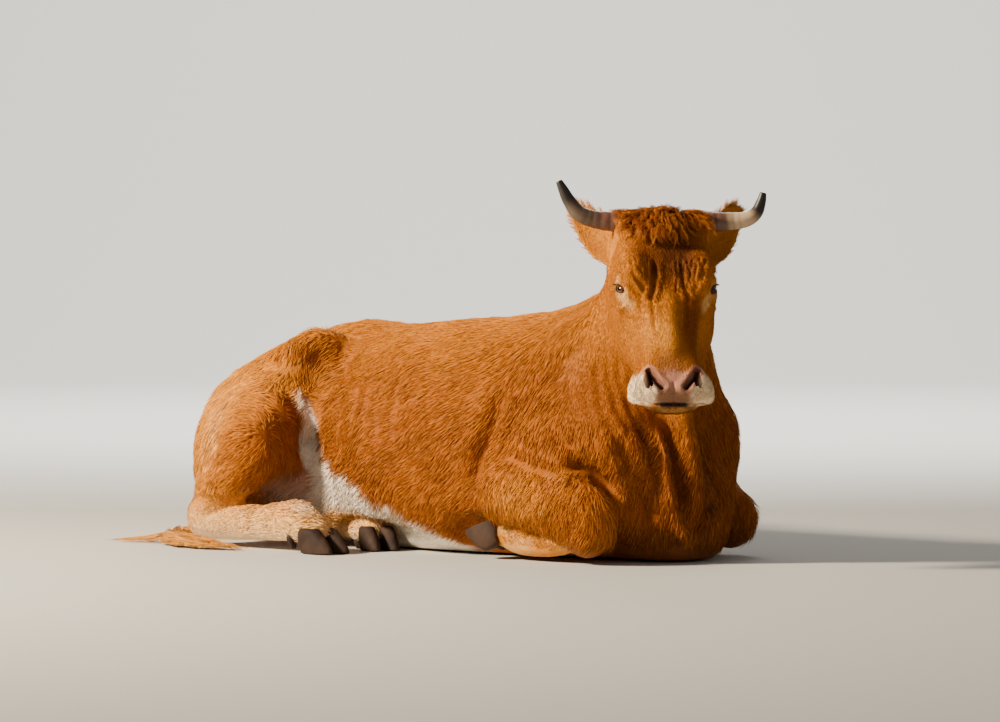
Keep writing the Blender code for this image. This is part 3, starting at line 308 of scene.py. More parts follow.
def ring_surface(name, rings):
    """A closed surface through rings of points, its two ends capped by fans."""
    count = len(rings[0])
    points = [p for ring in rings for p in ring]
    faces = bands(len(rings), count)
    for start, ring, flip in ((0, rings[0], True), ((len(rings) - 1) * count, rings[-1], False)):
        middle = sum((Vector(p) for p in ring), Vector()) / count
        points.append(tuple(middle))
        for k in range(count):
            n = (k + 1) % count
            face = (start + k, start + n, len(points) - 1)
            faces.append(face[::-1] if flip else face)
    made = mesh_object(name, points, faces)
    with edited(made.data) as work:
        bmesh.ops.recalc_face_normals(work, faces=work.faces)
    return made


def ear_axes(side):
    root, tip = Vector(EAR_ROOT), Vector(EAR_TIP)
    root.y *= side
    tip.y *= side
    along = (tip - root).normalized()
    face = Vector((EAR_OPENING[0], side * EAR_OPENING[1], EAR_OPENING[2]))
    face = (face - along * face.dot(along)).normalized()
    return root, tip, along, face, along.cross(face)


def ear_blade(side):
    root, tip, _, face, across = ear_axes(side)
    rings = []
    for t in np.linspace(0, 1, 26):
        half, cup, thick, bend = (np.interp(t, EAR_ROWS[:, 0], EAR_ROWS[:, k]) for k in (1, 2, 3, 4))
        centre = root + (tip - root) * t + face * bend
        outer, inner = [], []
        for u in np.linspace(-1, 1, 17):
            curl = cup * (1 - u * u)
            wall = thick * (1 - 0.5 * abs(u))
            outer.append(HEAD @ (centre + across * half * u - face * (curl + wall)))
            inner.append(HEAD @ (centre + across * half * u * 0.96 - face * curl))
        rings.append(outer + inner[::-1])
    return ring_surface("ear_blade", rings)


# %% One volume of all the flesh
FLESH = [name for name in sorted(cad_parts)
         if name.startswith(("torso", "neck", "head", "ear_", "foreleg_", "hindleg_")) or name == "tail"]
PUFF = 0.0005
SKIN_STEP = 0.0048


def merged_copy(node):
    """A CAD node's mesh with its loose triangles sewn together."""
    work = bmesh.new()
    work.from_mesh(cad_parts[node].data)
    bmesh.ops.remove_doubles(work, verts=work.verts, dist=1e-5)
    mesh = bpy.data.meshes.new(node + "_copy")
    work.to_mesh(mesh)
    work.free()
    return new_object(node + "_copy", mesh)


def applied(made):
    """The object with its modifiers applied to its mesh."""
    graph = bpy.context.evaluated_depsgraph_get()
    result = bpy.data.meshes.new_from_object(made.evaluated_get(graph))
    made.modifiers.clear()
    old, made.data = made.data, result
    bpy.data.meshes.remove(old)
    return made


def baked(made, kind, **settings):
    """The object with one modifier applied to its mesh."""
    change = made.modifiers.new(kind, kind)
    for key, value in settings.items():
        setattr(change, key, value)
    return applied(made)


def joined(parts, name):
    """Several objects as one, which need not touch."""
    work = bmesh.new()
    for part in parts:
        work.from_mesh(part.data)
    mesh = bpy.data.meshes.new(name)
    work.to_mesh(mesh)
    work.free()
    for part in parts:
        bpy.data.objects.remove(part)
    return new_object(name, mesh)


def largest_only(made):
    """Drops every loose scrap or inner shell but the largest surface."""
    mesh = made.data
    ends = np.empty(len(mesh.edges) * 2, np.int32)
    mesh.edges.foreach_get("vertices", ends)
    ends = ends.reshape(-1, 2)
    label = np.arange(len(mesh.vertices))
    while True:
        low = np.minimum(label[ends[:, 0]], label[ends[:, 1]])
        fresh = label.copy()
        np.minimum.at(fresh, ends[:, 0], low)
        np.minimum.at(fresh, ends[:, 1], low)
        fresh = fresh[fresh]
        if (fresh == label).all():
            break
        label = fresh
    keep = np.bincount(label).argmax()
    with edited(mesh) as work:
        work.verts.ensure_lookup_table()
        gone = [work.verts[i] for i in np.flatnonzero(label != keep)]
        bmesh.ops.delete(work, geom=gone, context="VERTS")
    return made


skin = joined([baked(merged_copy(name), "DISPLACE", strength=PUFF, mid_level=0.0)
               for name in FLESH if not name.startswith("ear_")], "skin")
skin = baked(skin, "REMESH", mode="VOXEL", voxel_size=SKIN_STEP)
skin = largest_only(skin)
print("skin", len(skin.data.vertices), "points")

# %% [markdown]
# The face and the muzzle carry the finest forms, so the grid there is halved before anything
# is sculpted on it.

# %% A finer grid on the face and the muzzle
points = in_head(as_array(skin.data))
fine = near(points, (0.43, 0, -0.045), (0.085, 0.13, 0.09), 0.3) > 0
fine |= near(points, (0.17, 0, 0.0), (0.15, 0.15, 0.11), 0.3) > 0

def refined(made, chosen):
    """Halves the grid where both ends of an edge are chosen."""
    with edited(made.data) as work:
        work.verts.ensure_lookup_table()
        edges = [edge for edge in work.edges if all(chosen[end.index] for end in edge.verts)]
        bmesh.ops.subdivide_edges(work, edges=edges, cuts=1, use_grid_fill=True)
        bmesh.ops.triangulate(work, faces=[face for face in work.faces if len(face.verts) > 4])


refined(skin, fine)
points = in_head(as_array(skin.data))
refined(skin, near(points, (0.445, 0, -0.045), (0.06, 0.115, 0.07), 0.3) > 0)
print("skin with a finer face", len(skin.data.vertices), "points")

# %% [markdown]
# ## Easing the facets
# Every point moves toward its neighbours' middle and then a little back, which takes the facets
# out and keeps the volume. How many rounds a point gets follows from where it is: the barrel has
# facets a hand wide, the face only a finger wide.

# %% Smoothing tools
class Net:
    """The edges of a mesh, as arrays, for work on all its points at once."""

    def __init__(self, mesh):
        self.mesh = mesh
        ends = np.empty(len(mesh.edges) * 2, np.int32)
        mesh.edges.foreach_get("vertices", ends)
        self.a, self.b = ends.reshape(-1, 2).T
        self.count = len(mesh.vertices)
        self.degree = np.maximum(np.bincount(ends, minlength=self.count), 1)[:, None]

    def middle(self, values):
        """The mean of each point's neighbours."""
        total = np.empty_like(values)
        for k in range(values.shape[1]):
            total[:, k] = np.bincount(self.a, values[self.b, k], self.count)
            total[:, k] += np.bincount(self.b, values[self.a, k], self.count)
        return total / self.degree

    def eased(self, points, rounds, amount, hold=0.52):
        """Rounds of smoothing, weighted point by point, each followed by a step back."""
        amount = amount[:, None]
        for _ in range(rounds):
            points = points + (self.middle(points) - points) * 0.6 * amount
            points = points - (self.middle(points) - points) * hold * amount
        return points

    def normals(self, points):
        self.mesh.vertices.foreach_set("co", points.astype(np.float32).ravel())
        self.mesh.update()
        return as_array(self.mesh, "normal")


def search_tree(made):
    mesh = made.data
    mesh.calc_loop_triangles()
    triangles = [triangle.vertices for triangle in mesh.loop_triangles]
    return BVHTree.FromPolygons([v.co for v in mesh.vertices], triangles)


def box_share(points, node, margin):
    """1 inside a solid's box, falling to 0 a margin outside it."""
    low, high = (np.array(v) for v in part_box(node))
    outside = np.maximum(np.maximum(low - points, points - high), 0)
    return smooth(1 - np.linalg.norm(outside, axis=1) / margin)


class Regions:
    """How far each point belongs to the head, a lower leg, the tail or the barrel."""

    def __init__(self, points):
        self.head = box_share(points, "head", 0.05)
        self.tail = box_share(points, "tail", 0.02) * smooth((-0.84 - in_body(points)[:, 0]) / 0.02)
        limbs = [limb + "_" + side + "_lower" for limb in ("foreleg", "hindleg") for side in SIDES]
        self.leg = np.clip(sum(box_share(points, limb, 0.025) for limb in limbs), 0, 1)
        self.leg *= fall(points[:, 2], 0.16, 0.03)
        self.barrel = np.clip(1 - self.head - self.leg - self.tail, 0, 1)


# %% Ease the skin and sink it by the coat's depth
net = Net(skin.data)
points = as_array(skin.data)
region = Regions(points)
points = net.eased(points, 10, 1 - 0.9 * region.tail)
points = net.eased(points, 60, region.barrel)
DEPTH_BODY, DEPTH_HEAD, DEPTH_LEG = 0.0045, 0.003, 0.0035
depth = DEPTH_BODY * region.barrel + DEPTH_HEAD * region.head + DEPTH_LEG * (region.leg + region.tail)
depth = np.minimum(depth, DEPTH_BODY)
points = points - net.normals(points) * depth[:, None]
print("coat depth from", round(depth.min() * 1000, 1), "to", round(depth.max() * 1000, 1), "mm")

# %% [markdown]
# ## Sculpting the folds
# A resting ox is all loose skin: folds hang from the jaw to the dewlap, the skin gathers behind
# the shoulder and before the stifle, and the forehead is wrinkled. Each fold is a soft groove
# along a short path with a raised lip beside it.

# %% Folds of the body
FOLD_ENDS = 0.18
RIDGE_AWAY, RIDGE_WIDE = 2.1, 0.9


def mirrored(path):
    return [(x, -y, z) for x, y, z in path]


def fold(points, path, depth, width, lip=0.5):
    """How far a fold along a path pushes each point in (negative) or out, fading at its ends."""
    away, share = from_path(points, path)
    fade = smooth(share / FOLD_ENDS) * smooth((1 - share) / FOLD_ENDS)
    groove = np.exp(-(away / width) ** 2)
    ridge = np.exp(-((away - RIDGE_AWAY * width) / (RIDGE_WIDE * width)) ** 2)
    return fade * depth * (lip * ridge - groove)


SHOULDER_FOLD = [(0.266, -0.245, 0.42), (0.255, -0.285, 0.33), (0.222, -0.3, 0.24),
                 (0.215, -0.305, 0.16)]
NECK_FOLDS = [
    [(0.52, -0.18, 0.53), (0.54, -0.205, 0.44), (0.575, -0.205, 0.35), (0.62, -0.18, 0.27)],
    [(0.545, -0.17, 0.5), (0.565, -0.195, 0.42), (0.6, -0.185, 0.34), (0.64, -0.15, 0.25)],
    [(0.5, -0.19, 0.49), (0.52, -0.22, 0.41), (0.55, -0.225, 0.33), (0.6, -0.205, 0.26)],
    [(0.48, -0.19, 0.45), (0.5, -0.23, 0.37), (0.535, -0.24, 0.3), (0.58, -0.225, 0.24)],
]
JAW_FOLDS = [
    [(0.59, -0.17, 0.37), (0.622, -0.15, 0.29), (0.645, -0.115, 0.2), (0.655, -0.09, 0.13)],
    [(0.61, -0.16, 0.4), (0.64, -0.135, 0.32), (0.66, -0.11, 0.24)],
    [(0.64, -0.03, 0.38), (0.655, -0.04, 0.29), (0.66, -0.045, 0.2)],
    [(0.625, 0.02, 0.4), (0.65, 0.0, 0.3), (0.66, -0.01, 0.19)],
]
DEWLAP_EDGE = [(0.629, -0.14, 0.327), (0.635, -0.13, 0.263), (0.644, -0.122, 0.198),
               (0.652, -0.118, 0.137), (0.663, -0.092, 0.079), (0.671, -0.059, 0.043)]
ARM_CREASE = [(0.46, -0.29, 0.232), (0.5, -0.27, 0.23), (0.532, -0.255, 0.218),
              (0.565, -0.229, 0.181), (0.591, -0.221, 0.132), (0.587, -0.209, 0.081), (0.57, -0.19, 0.03)]
CHEST_GROOVES = [
    # path, depth, width
    (ARM_CREASE, 0.03, 0.018),
    ([(0.602, -0.189, 0.337), (0.625, -0.159, 0.275), (0.638, -0.14, 0.2), (0.644, -0.135, 0.15)],
     0.016, 0.01),
    ([(0.633, -0.124, 0.341), (0.652, -0.104, 0.274), (0.662, -0.092, 0.194), (0.668, -0.088, 0.13)],
     0.02, 0.013),
    ([(0.62, -0.165, 0.4), (0.628, -0.15, 0.34), (0.634, -0.142, 0.29)], 0.008, 0.007),
    ([(0.66, -0.08, 0.38), (0.68, -0.085, 0.3), (0.69, -0.075, 0.22)], 0.007, 0.009),
    ([(0.68, -0.045, 0.04), (0.7, -0.045, 0.09), (0.7, -0.03, 0.13), (0.665, 0.05, 0.165)],
     0.022, 0.018),
    ([(0.588, -0.221, 0.3), (0.6, -0.208, 0.245), (0.6, -0.2, 0.19)], 0.011, 0.011),
    ([(0.555, -0.235, 0.35), (0.585, -0.225, 0.29), (0.59, -0.228, 0.24)], 0.006, 0.01),
]
THIGH_FOLDS = [
    [(-0.56, -0.19, 0.5), (-0.52, -0.21, 0.42), (-0.48, -0.24, 0.32), (-0.455, -0.27, 0.23)],
    [(-0.64, -0.26, 0.42), (-0.64, -0.31, 0.32), (-0.61, -0.345, 0.22)],
]
ARM_FOLDS = [
    [(0.3, -0.29, 0.25), (0.38, -0.315, 0.235), (0.47, -0.305, 0.215), (0.53, -0.28, 0.215)],
    [(0.42, -0.24, 0.33), (0.49, -0.27, 0.27), (0.52, -0.3, 0.17)],
]

FOLDS = [
    # paths, depth and width on the right, the same on the left, share of the lip
    ([SHOULDER_FOLD], (0.016, 0.02), (0.012, 0.014), 0.5),
    (NECK_FOLDS, (0.003, 0.0075), (0.0045, 0.0085), 0.5),
    (JAW_FOLDS, (0.0035, 0.0085), None, 0.5),
    (THIGH_FOLDS, (0.007, 0.018), (0.005, 0.018), 0.3),
    (ARM_FOLDS, (0.006, 0.011), (0.006, 0.011), 0.5),
]
GROOVE_LIP = 0.15
CHEST_LUMPS = [
    # height, centre, radii
    (-0.022, (0.612, -0.168, 0.11), (0.05, 0.048, 0.095)),
    (0.012, (0.52, -0.3, 0.14), (0.11, 0.08, 0.09)),
]
RIB_HEIGHT, RIB_STEP = 0.0022, 0.062


normals = net.normals(points)
at = in_body(points)
shift = np.zeros(len(points))
for paths, right, left, lip in FOLDS:
    for path in paths:
        shift += fold(at, path, *right, lip)
        if left:
            shift += fold(at, mirrored(path), *left, lip)
forward = 0.045 * near(at, (-0.5, -0.29, 0.195), (0.14, 0.1, 0.105), 1.0)
for path, deep, wide in CHEST_GROOVES:
    shift += fold(at, path, deep, wide, GROOVE_LIP)
away, share = from_path(at, DEWLAP_EDGE)
shift += 0.026 * np.exp(-((away / 0.017) ** 2)) * smooth(share / 0.2) * smooth((1 - share) / 0.2)
for height, centre, radii in CHEST_LUMPS:
    shift += height * near(at, centre, radii, 1.0)
ribs = np.sin((at[:, 0] + 0.28 * at[:, 2]) * 2 * math.pi / RIB_STEP)
ribs *= near(at, (-0.1, 0, 0.33), (0.34, 0.6, 0.17), 0.6) * rise(np.abs(at[:, 1]), 0.15, 0.08)
shift += RIB_HEIGHT * ribs
shift -= 0.034 * near(at, (-0.47, -0.14, 0.452), (0.11, 0.105, 0.11), 1.0)
shift += 0.008 * near(at, (-0.585, -0.15, 0.47), (0.06, 0.07, 0.06), 0.9)
shift -= 0.008 * near(at, (-0.485, 0.165, 0.45), (0.075, 0.09, 0.085), 0.9)
shift += 0.0016 * ripple(at, 0.075, 5) * (1 - region.head)
shift *= 1 - fall(at[:, 2], 0.03, 0.03)
points = points + normals * shift[:, None]
points[:, 0] += forward
print("folds move the skin by", *np.round(np.array([shift.min(), shift.max()]) * 1000, 1), "mm")

# %% [markdown]
# ## The face
# The brow bulges over each eye, the forehead carries fanned wrinkles, the nostrils are commas
# in a broad moist pad, and the mouth runs low round the front of the muzzle.

# %% Brow, wrinkles, nostrils and mouth
normals = net.normals(points)
face = in_head(points)
front = rise(face[:, 2], -0.1, 0.05)
shift = np.zeros(len(points))
inward = np.zeros(len(points))
NOSTRIL = np.array([(0.404, 0.055, 0), (0.415, 0.05, 0), (0.426, 0.043, 0), (0.437, 0.035, 0),
                    (0.446, 0.028, 0)])
MOUTH_HALF = [(0.385, 0.076, -0.1), (0.425, 0.09, -0.09), (0.456, 0.081, -0.08),
              (0.47, 0.055, -0.067), (0.477, 0.025, -0.059), (0.478, 0.0, -0.057)]
MOUTH = MOUTH_HALF + mirrored(MOUTH_HALF[-2::-1])
FLAT = np.array((1, 1, 0))
WRINKLES = 8
MOUTH_LEVEL = ([0, 0.025, 0.055, 0.081, 0.09], [-0.057, -0.059, -0.067, -0.08, -0.09])
for sign in SIDES.values():
    shift += 0.011 * near(face, (0.15, sign * 0.072, 0.002), (0.075, 0.042, 0.05), 1.0)
    shift -= 0.004 * near(face, (0.235, sign * 0.092, -0.05), (0.04, 0.04, 0.045), 1.0)
    shift += 0.003 * near(face, (0.262, sign * 0.075, -0.03), (0.06, 0.016, 0.03), 1.0)
    deep = 0.0034 if sign > 0 else 0.0013
    for k in range(WRINKLES):
        bow = 0.0022 * math.sin(2.3 * k + sign)
        path = [(0.216 - 0.004 * k, sign * (0.014 + 0.0085 * k), 0),
                (0.172 - 0.003 * k, sign * (0.019 + 0.009 * k) + bow, 0),
                (0.12 + 0.006 * (k % 3), sign * (0.021 + 0.0088 * k) - bow, 0)]
        shift += front * fold(face * FLAT, path, deep, 0.0027 + 0.0004 * (k % 3), 0.6)
    brow = [(0.215, sign * 0.052, -0.004), (0.176, sign * 0.074, 0.004), (0.14, sign * 0.1, -0.008)]
    shift += fold(face, brow, 0.0026 if sign < 0 else 0.0012, 0.005, 0.7)
    brow = [(0.232, sign * 0.058, -0.012), (0.196, sign * 0.08, -0.006), (0.15, sign * 0.106, -0.022)]
    shift += fold(face, brow, 0.002, 0.0045, 0.6)
    away, share = from_path(face * FLAT, NOSTRIL * np.array((1, sign, 0)))
    wide = np.interp(share, [0, 0.45, 1], [0.0055, 0.0085, 0.0062])
    inward += smooth((1.5 - away / wide) / 1.2) * rise(face[:, 2], -0.075, 0.02)
    shift += 0.0022 * np.exp(-((away - 0.015) / 0.0065) ** 2) * rise(face[:, 0], 0.385, 0.03)
for sign in SIDES.values():
    crease = [(0.12, sign * 0.03, 0), (0.165, sign * 0.031, 0), (0.205, sign * 0.037, 0),
              (0.232, sign * 0.046, 0)]
    shift += front * fold(face * FLAT, crease, 0.0058 if sign < 0 else 0.003, 0.0055, 0.7)
    crease = [(0.205, sign * 0.041, 0), (0.26, sign * 0.038, 0), (0.31, sign * 0.036, 0)]
    shift += front * fold(face * FLAT, crease, 0.0025, 0.005, 0.5)
    shift -= 0.007 * near(face, (0.285, sign * 0.07, -0.02), (0.085, 0.034, 0.045), 1.0)
down = rise(face[:, 0], 0.185, 0.06) * fall(face[:, 0], 0.395, 0.05)
shift += front * down * 0.01 * np.exp(-((face[:, 1] / 0.024) ** 2))
mouth_level = np.interp(np.abs(face[:, 1]), *MOUTH_LEVEL)
below = smooth((mouth_level - 0.004 - face[:, 2]) / 0.014) * rise(face[:, 0], 0.375, 0.05)
shift -= 0.007 * below * region.head * rise(np.abs(face[:, 1]), 0.036, 0.03)
mouth_tree = search_tree(skin)
MOUTH = [tuple(TO_HEAD @ mouth_tree.find_nearest(HEAD @ Vector(q))[0]) for q in MOUTH]
away, _ = from_path(face, MOUTH)
parted = 0.15 + 0.85 * fall(np.abs(face[:, 1]), 0.066, 0.025)
shift -= 0.0075 * parted * np.exp(-((away / 0.0036) ** 2))
shift += 0.0025 * parted * np.exp(-(((away - 0.01) / 0.005) ** 2))
shift -= 0.0022 * np.exp(-((face[:, 1] / 0.0035) ** 2)) * rise(face[:, 0], 0.425, 0.02) * front
points = points + normals * shift[:, None]
INTO_HEAD = np.array(HEAD.to_3x3() @ Vector((-0.35, 0, -0.94)))
NOSTRIL_DEPTH, FACE_HOLD, SKIN_FLOOR = 0.016, 0.35, 0.0008
points = points + INTO_HEAD * (NOSTRIL_DEPTH * np.clip(inward, 0, 1))[:, None]
points = net.eased(points, 2, region.head, FACE_HOLD)
points[:, 2] = np.maximum(points[:, 2], SKIN_FLOOR)
net.normals(points)

# %% [markdown]
# ## Lids and ears
# Each lid ring is a closed band round the ball of the eye: a moist rim in an almond shape,
# a full upper lid with a crease over it, and an outer edge sunk in the skin. Ears are cupped
# leaves. Both are fused with the skin, so the head stays one surface.

# %% Make room for the eye and build the lids
LID_REACH, LID_STEPS = 0.043, 72
EYE_WIDE, EYE_UP, EYE_DOWN = 50, 25.0, 19.0
CLEAR_FROM, CLEAR_DEPTH = 0.024, -0.004


def eye_axes(side):
    """Centre of the ball, way out, way to the inner corner and way up, in the head's axes."""
    centre = Vector((EYE.x, side * EYE.y, EYE.z))
    out = Vector((0.16, side * 0.8, 0.57)).normalized()
    inner = Vector((0.7, -side * 0.1, 0.62))
    inner = (inner - out * inner.dot(out)).normalized()
    up = out.cross(inner)
    if up.x > 0:
        up = -up
    return centre, out, inner, up


def clear_for_eye(points, side):
    """The skin round an eye, pressed in below the lids."""
    centre, out = (np.array(v) for v in eye_axes(side)[:2])
    local = in_head(points) - centre
    height = local @ out
    across = np.linalg.norm(local - np.outer(height, out), axis=1)
    pressed = (across < LID_REACH) & (height > CLEAR_DEPTH)
    share = smooth((across - CLEAR_FROM) / (LID_REACH - 0.026))
    wanted = np.where(pressed, CLEAR_DEPTH + (height - CLEAR_DEPTH) * share, height)
    return points + ((wanted - height)[:, None] * (out @ np.array(HEAD.to_3x3()).T))


def lid_ring(side, tree):
    """A closed ring: almond rim, lid, crease and an outer edge under the skin."""
    centre, out, inner, up = eye_axes(side)
    rings = []
    for i in range(LID_STEPS):
        a = 2 * math.pi * i / LID_STEPS
        c, s = math.cos(a), math.sin(a)
        open_up = EYE_UP if s > 0 else EYE_DOWN
        narrow = 1 - 0.25 * abs(c) ** 6
        tilt = inner * math.tan(math.radians(EYE_WIDE)) * c
        tilt = tilt + up * math.tan(math.radians(open_up)) * s * narrow
        rim_way = (out + tilt).normalized()
        side_way = (inner * c + up * s).normalized()
        edge, normal, _, _ = tree.find_nearest(HEAD @ (centre + out * 0.012 + side_way * LID_REACH))
        edge = TO_HEAD @ (edge - normal * 0.0016)
        inside = centre + rim_way * EYE_RADIUS * 0.985
        rim = centre + rim_way * EYE_RADIUS * (1.13 if s > 0 else 1.09)
        full = 0.005 if s > 0 else 0.003
        section = [inside, inside.lerp(rim, 0.55), rim]
        for u in (0.1, 0.22, 0.34, 0.45, 0.56, 0.68, 0.82, 1.0):
            crease = math.exp(-((u - 0.45) / 0.09) ** 2) * (0.0026 if s > 0 else 0.0016)
            second = math.exp(-((u - 0.72) / 0.08) ** 2) * 0.0012
            lift = full * math.sin(math.pi * min(1.0, u * 1.15)) ** 0.8 if u < 0.87 else 0.0
            section.append(rim.lerp(edge, u) + out * (lift - crease - second))
        under = edge - out * 0.01
        section += [under, centre + side_way * 0.02 + out * 0.001]
        rings.append([HEAD @ p for p in section])
    faces = bands(LID_STEPS, len(rings[0]), closed=True)
    made = mesh_object("lid", [p for ring in rings for p in ring], faces)
    with edited(made.data) as work:
        bmesh.ops.triangulate(work, faces=work.faces)
        bmesh.ops.recalc_face_normals(work, faces=work.faces)
    return made


def union(made, other):
    """One closed surface of two."""
    change = made.modifiers.new("Union", "BOOLEAN")
    change.operation = "UNION"
    change.solver = "MANIFOLD"
    change.object = other
    applied(made)
    bpy.data.objects.remove(other)
    return made


tree = search_tree(skin)
lids = [lid_ring(sign, tree) for sign in SIDES.values()]
for sign in SIDES.values():
    points = clear_for_eye(points, sign)
net.normals(points)
print("skin before lids and ears", len(skin.data.polygons))
for part in lids + [ear_blade(sign) for sign in SIDES.values()]:
    before = len(skin.data.vertices)
    skin = union(skin, part)
    print("joined, points", before, "to", len(skin.data.vertices))
skin = largest_only(skin)

# %% Thin the barrel's grid so that the skin stays light
MOST_SKIN = 192000
coarse = skin.vertex_groups.new(name="coarse")
points = as_array(skin.data)
face = in_head(points)
on_face = near(face, (0.25, 0, -0.05), (0.32, 0.22, 0.22), 0.3)
for side in SIDES:
    on_face = np.maximum(on_face, box_share(points, "ear_" + side, 0.01))
LEVELS, LEAST_WEIGHT, WEIGHT_STEP = 4, 0.02, 0.245
for level in range(LEVELS + 1):
    chosen = np.flatnonzero(np.round((1 - on_face) * LEVELS) == level)
    coarse.add([int(i) for i in chosen], LEAST_WEIGHT + WEIGHT_STEP * level, "REPLACE")
skin.data.calc_loop_triangles()
ratio = MOST_SKIN / len(skin.data.loop_triangles)
skin = baked(skin, "DECIMATE", ratio=ratio, vertex_group="coarse", vertex_group_factor=1.0)
skin.vertex_groups.clear()
for polygon in skin.data.polygons:
    polygon.use_smooth = True
skin.data.calc_loop_triangles()
print("skin triangles", len(skin.data.loop_triangles))

# %% Unwrap the skin
def unwrapped(made, name):
    """The object's own unwrap, by the way its faces look."""
    made.data.uv_layers.new(name=name)
    for other in bpy.context.selected_objects:
        other.select_set(False)
    made.select_set(True)
    bpy.context.view_layer.objects.active = made
    bpy.ops.object.mode_set(mode="EDIT")
    bpy.ops.mesh.select_all(action="SELECT")
    bpy.ops.uv.smart_project(angle_limit=math.radians(70), island_margin=0.004)
    bpy.ops.object.mode_set(mode="OBJECT")
    made.select_set(False)


unwrapped(skin, "OFBake")
corner_uv = np.empty(len(skin.data.loops) * 2, np.float32)
skin.data.uv_layers["OFBake"].data.foreach_get("uv", corner_uv)
print("unwrap reaches", corner_uv.min(), corner_uv.max())

# %% [markdown]
# ## Markings, painted shade and painted light
# The coat's colours are painted once, on the skin's points, from soft shapes in the body's and
# the head's own axes. Some of them are painted shade and painted light. Skin and coat both read
# them, so every tuft has the colour of its root.

# %% Palette
CHESTNUT = (0.365, 0.094, 0.002)
RED_BROWN = (0.215, 0.042, 0.002)
DARK_BROWN = (0.07, 0.015, 0.002)
ORANGE = (0.61, 0.2, 0.003)
SAND = (0.85, 0.35, 0.042)
CREAM = (0.9, 0.52, 0.185)
WHITE = (0.98, 0.89, 0.76)
PINK = (0.52, 0.23, 0.15)
PINK_DARK = (0.2, 0.085, 0.055)
WORN = (0.56, 0.19, 0.035)
# Painted shade, near black, for the slit of the mouth and inside the nostrils.
OPENING_SHADE = (0.014, 0.006, 0.004)
UDDER = (0.62, 0.42, 0.34)
LOW_FRONT_BROWN = (0.2, 0.1, 0.05)
FLUFF_EDGE, FLUFF = (0.93, 0.6, 0.3), (0.965, 0.745, 0.485)
# The first colour on the next line is painted shade under the upper lip.
UNDER_LIP_SHADE, JOWL, CHIN = (0.18, 0.055, 0.008), (0.96, 0.74, 0.48), (0.56, 0.27, 0.07)
# The last colour on the next line is the lips' own dark colour with painted shadow of the upper lip.
BRIDGE_END, PAD_LOW, LIP_DARK_AND_SHADOW = (0.5, 0.18, 0.045), (0.19, 0.085, 0.036), (0.105, 0.045, 0.028)
LID_DARK = (0.06, 0.028, 0.02)
EAR_CUP = (0.6, 0.22, 0.015)


def mixed(colours, other, share):
    return colours + (np.array(other) - colours) * np.clip(share, 0, 1)[:, None]


class Paint:
    """The colour of every point, laid on one layer after the other."""

    def __init__(self, count, colour):
        self.shade = np.tile(np.array(colour), (count, 1))

    def layer(self, colour, share):
        self.shade = mixed(self.shade, colour, share)

    def spots(self, places, *rows):
        """Soft ellipsoids: colour, amount, centre, radii and share of soft border."""
        for colour, amount, centre, radii, soft in rows:
            self.layer(colour, amount * near(places, centre, radii, soft))


# %% Paint the skin
points = as_array(skin.data)
normals = as_array(skin.data, "normal")
region = Regions(points)
at, face = in_body(points), in_head(points)
spread = ripple(at, 0.16, 1)
broad = ripple(at, 0.45, 2)
small = ripple(at, 0.045, 3)
x, y, z = at.T
paint = Paint(len(points), CHESTNUT)
paint.layer(ORANGE, 0.55 * rise(z, 0.4, 0.14) + 0.18 * spread)
flank = near(at, (-0.05, 0, 0.27), (0.42, 0.6, 0.2), 0.8)
paint.layer(RED_BROWN, flank * (0.5 + 0.38 * spread + 0.2 * small))
# Partly the chest's own darker colour and partly painted shade: red-brown and dark brown where the chest
# faces away from the main lamp, and in the recess between the foreleg and the dewlap.
paint.spots(
    at,
    (RED_BROWN, 0.45, (0.62, 0.02, 0.25), (0.14, 0.28, 0.26), 0.8),
    (RED_BROWN, 0.7, (0.655, -0.03, 0.14), (0.1, 0.2, 0.2), 0.9),
    (DARK_BROWN, 0.45, (0.64, -0.1, 0.06), (0.12, 0.16, 0.07), 0.9),
    (DARK_BROWN, 0.5, (0.675, -0.02, 0.19), (0.09, 0.1, 0.19), 0.8),
)
# Painted highlight: a sand stripe along the lit edge of the dewlap.
ridge_away, ridge_share = from_path(at, DEWLAP_EDGE)
paint.layer(SAND, 0.7 * fall(ridge_away, 0.016, 0.014) * smooth(ridge_share / 0.15))
rump = smooth((-0.44 - x - 0.06 * broad - 0.03 * small) / 0.24)
paint.layer(ORANGE, rump * (0.88 + 0.12 * spread))
golden = smooth((0.5 - z + 0.03 * spread) / 0.2) * (0.7 + 0.3 * spread)
paint.layer(SAND, rump * golden)
paint.layer(SAND, 0.6 * rump * fall(x, -0.7, 0.1))
paint.spots(at, (CREAM, 0.45, (-0.64, -0.3, 0.27), (0.09, 0.12, 0.15), 0.9))
behind_knee = near(at, (-0.6, -0.33, 0.15), (0.12, 0.12, 0.035), 0.7)
paint.layer(CHESTNUT, 0.7 * behind_knee)
# Painted shadow: dark brown in the hollow before the hip bone, where the hip casts its shade.
hip_hollow_shadow = near(at, (-0.485, -0.145, 0.45), (0.115, 0.11, 0.095), 0.9)
paint.layer(DARK_BROWN, 0.62 * hip_hollow_shadow)
edge_x = [-0.6, -0.494, -0.449, -0.347, -0.236, -0.158, -0.095, 0.009, 0.08, 0.14]
edge_z = [0.39, 0.375, 0.262, 0.206, 0.172, 0.126, 0.098, 0.078, 0.03, 0.0]
edge = np.interp(x, edge_x, edge_z) + 0.012 * small + 0.01 * ripple(at, 0.11, 4)
thigh_side = np.interp(x, [-0.45, -0.4, -0.36, -0.32], [-0.226, -0.238, -0.266, -0.35])
on_thigh = smooth((thigh_side - y) / 0.012) * fall(x, -0.32, 0.02) * rise(z, 0.125, 0.02)
belly = smooth((edge - z) / 0.02) * fall(x, 0.12, 0.04)
belly = belly * rise(x, -0.475, 0.015) * fall(z, 0.29, 0.02)
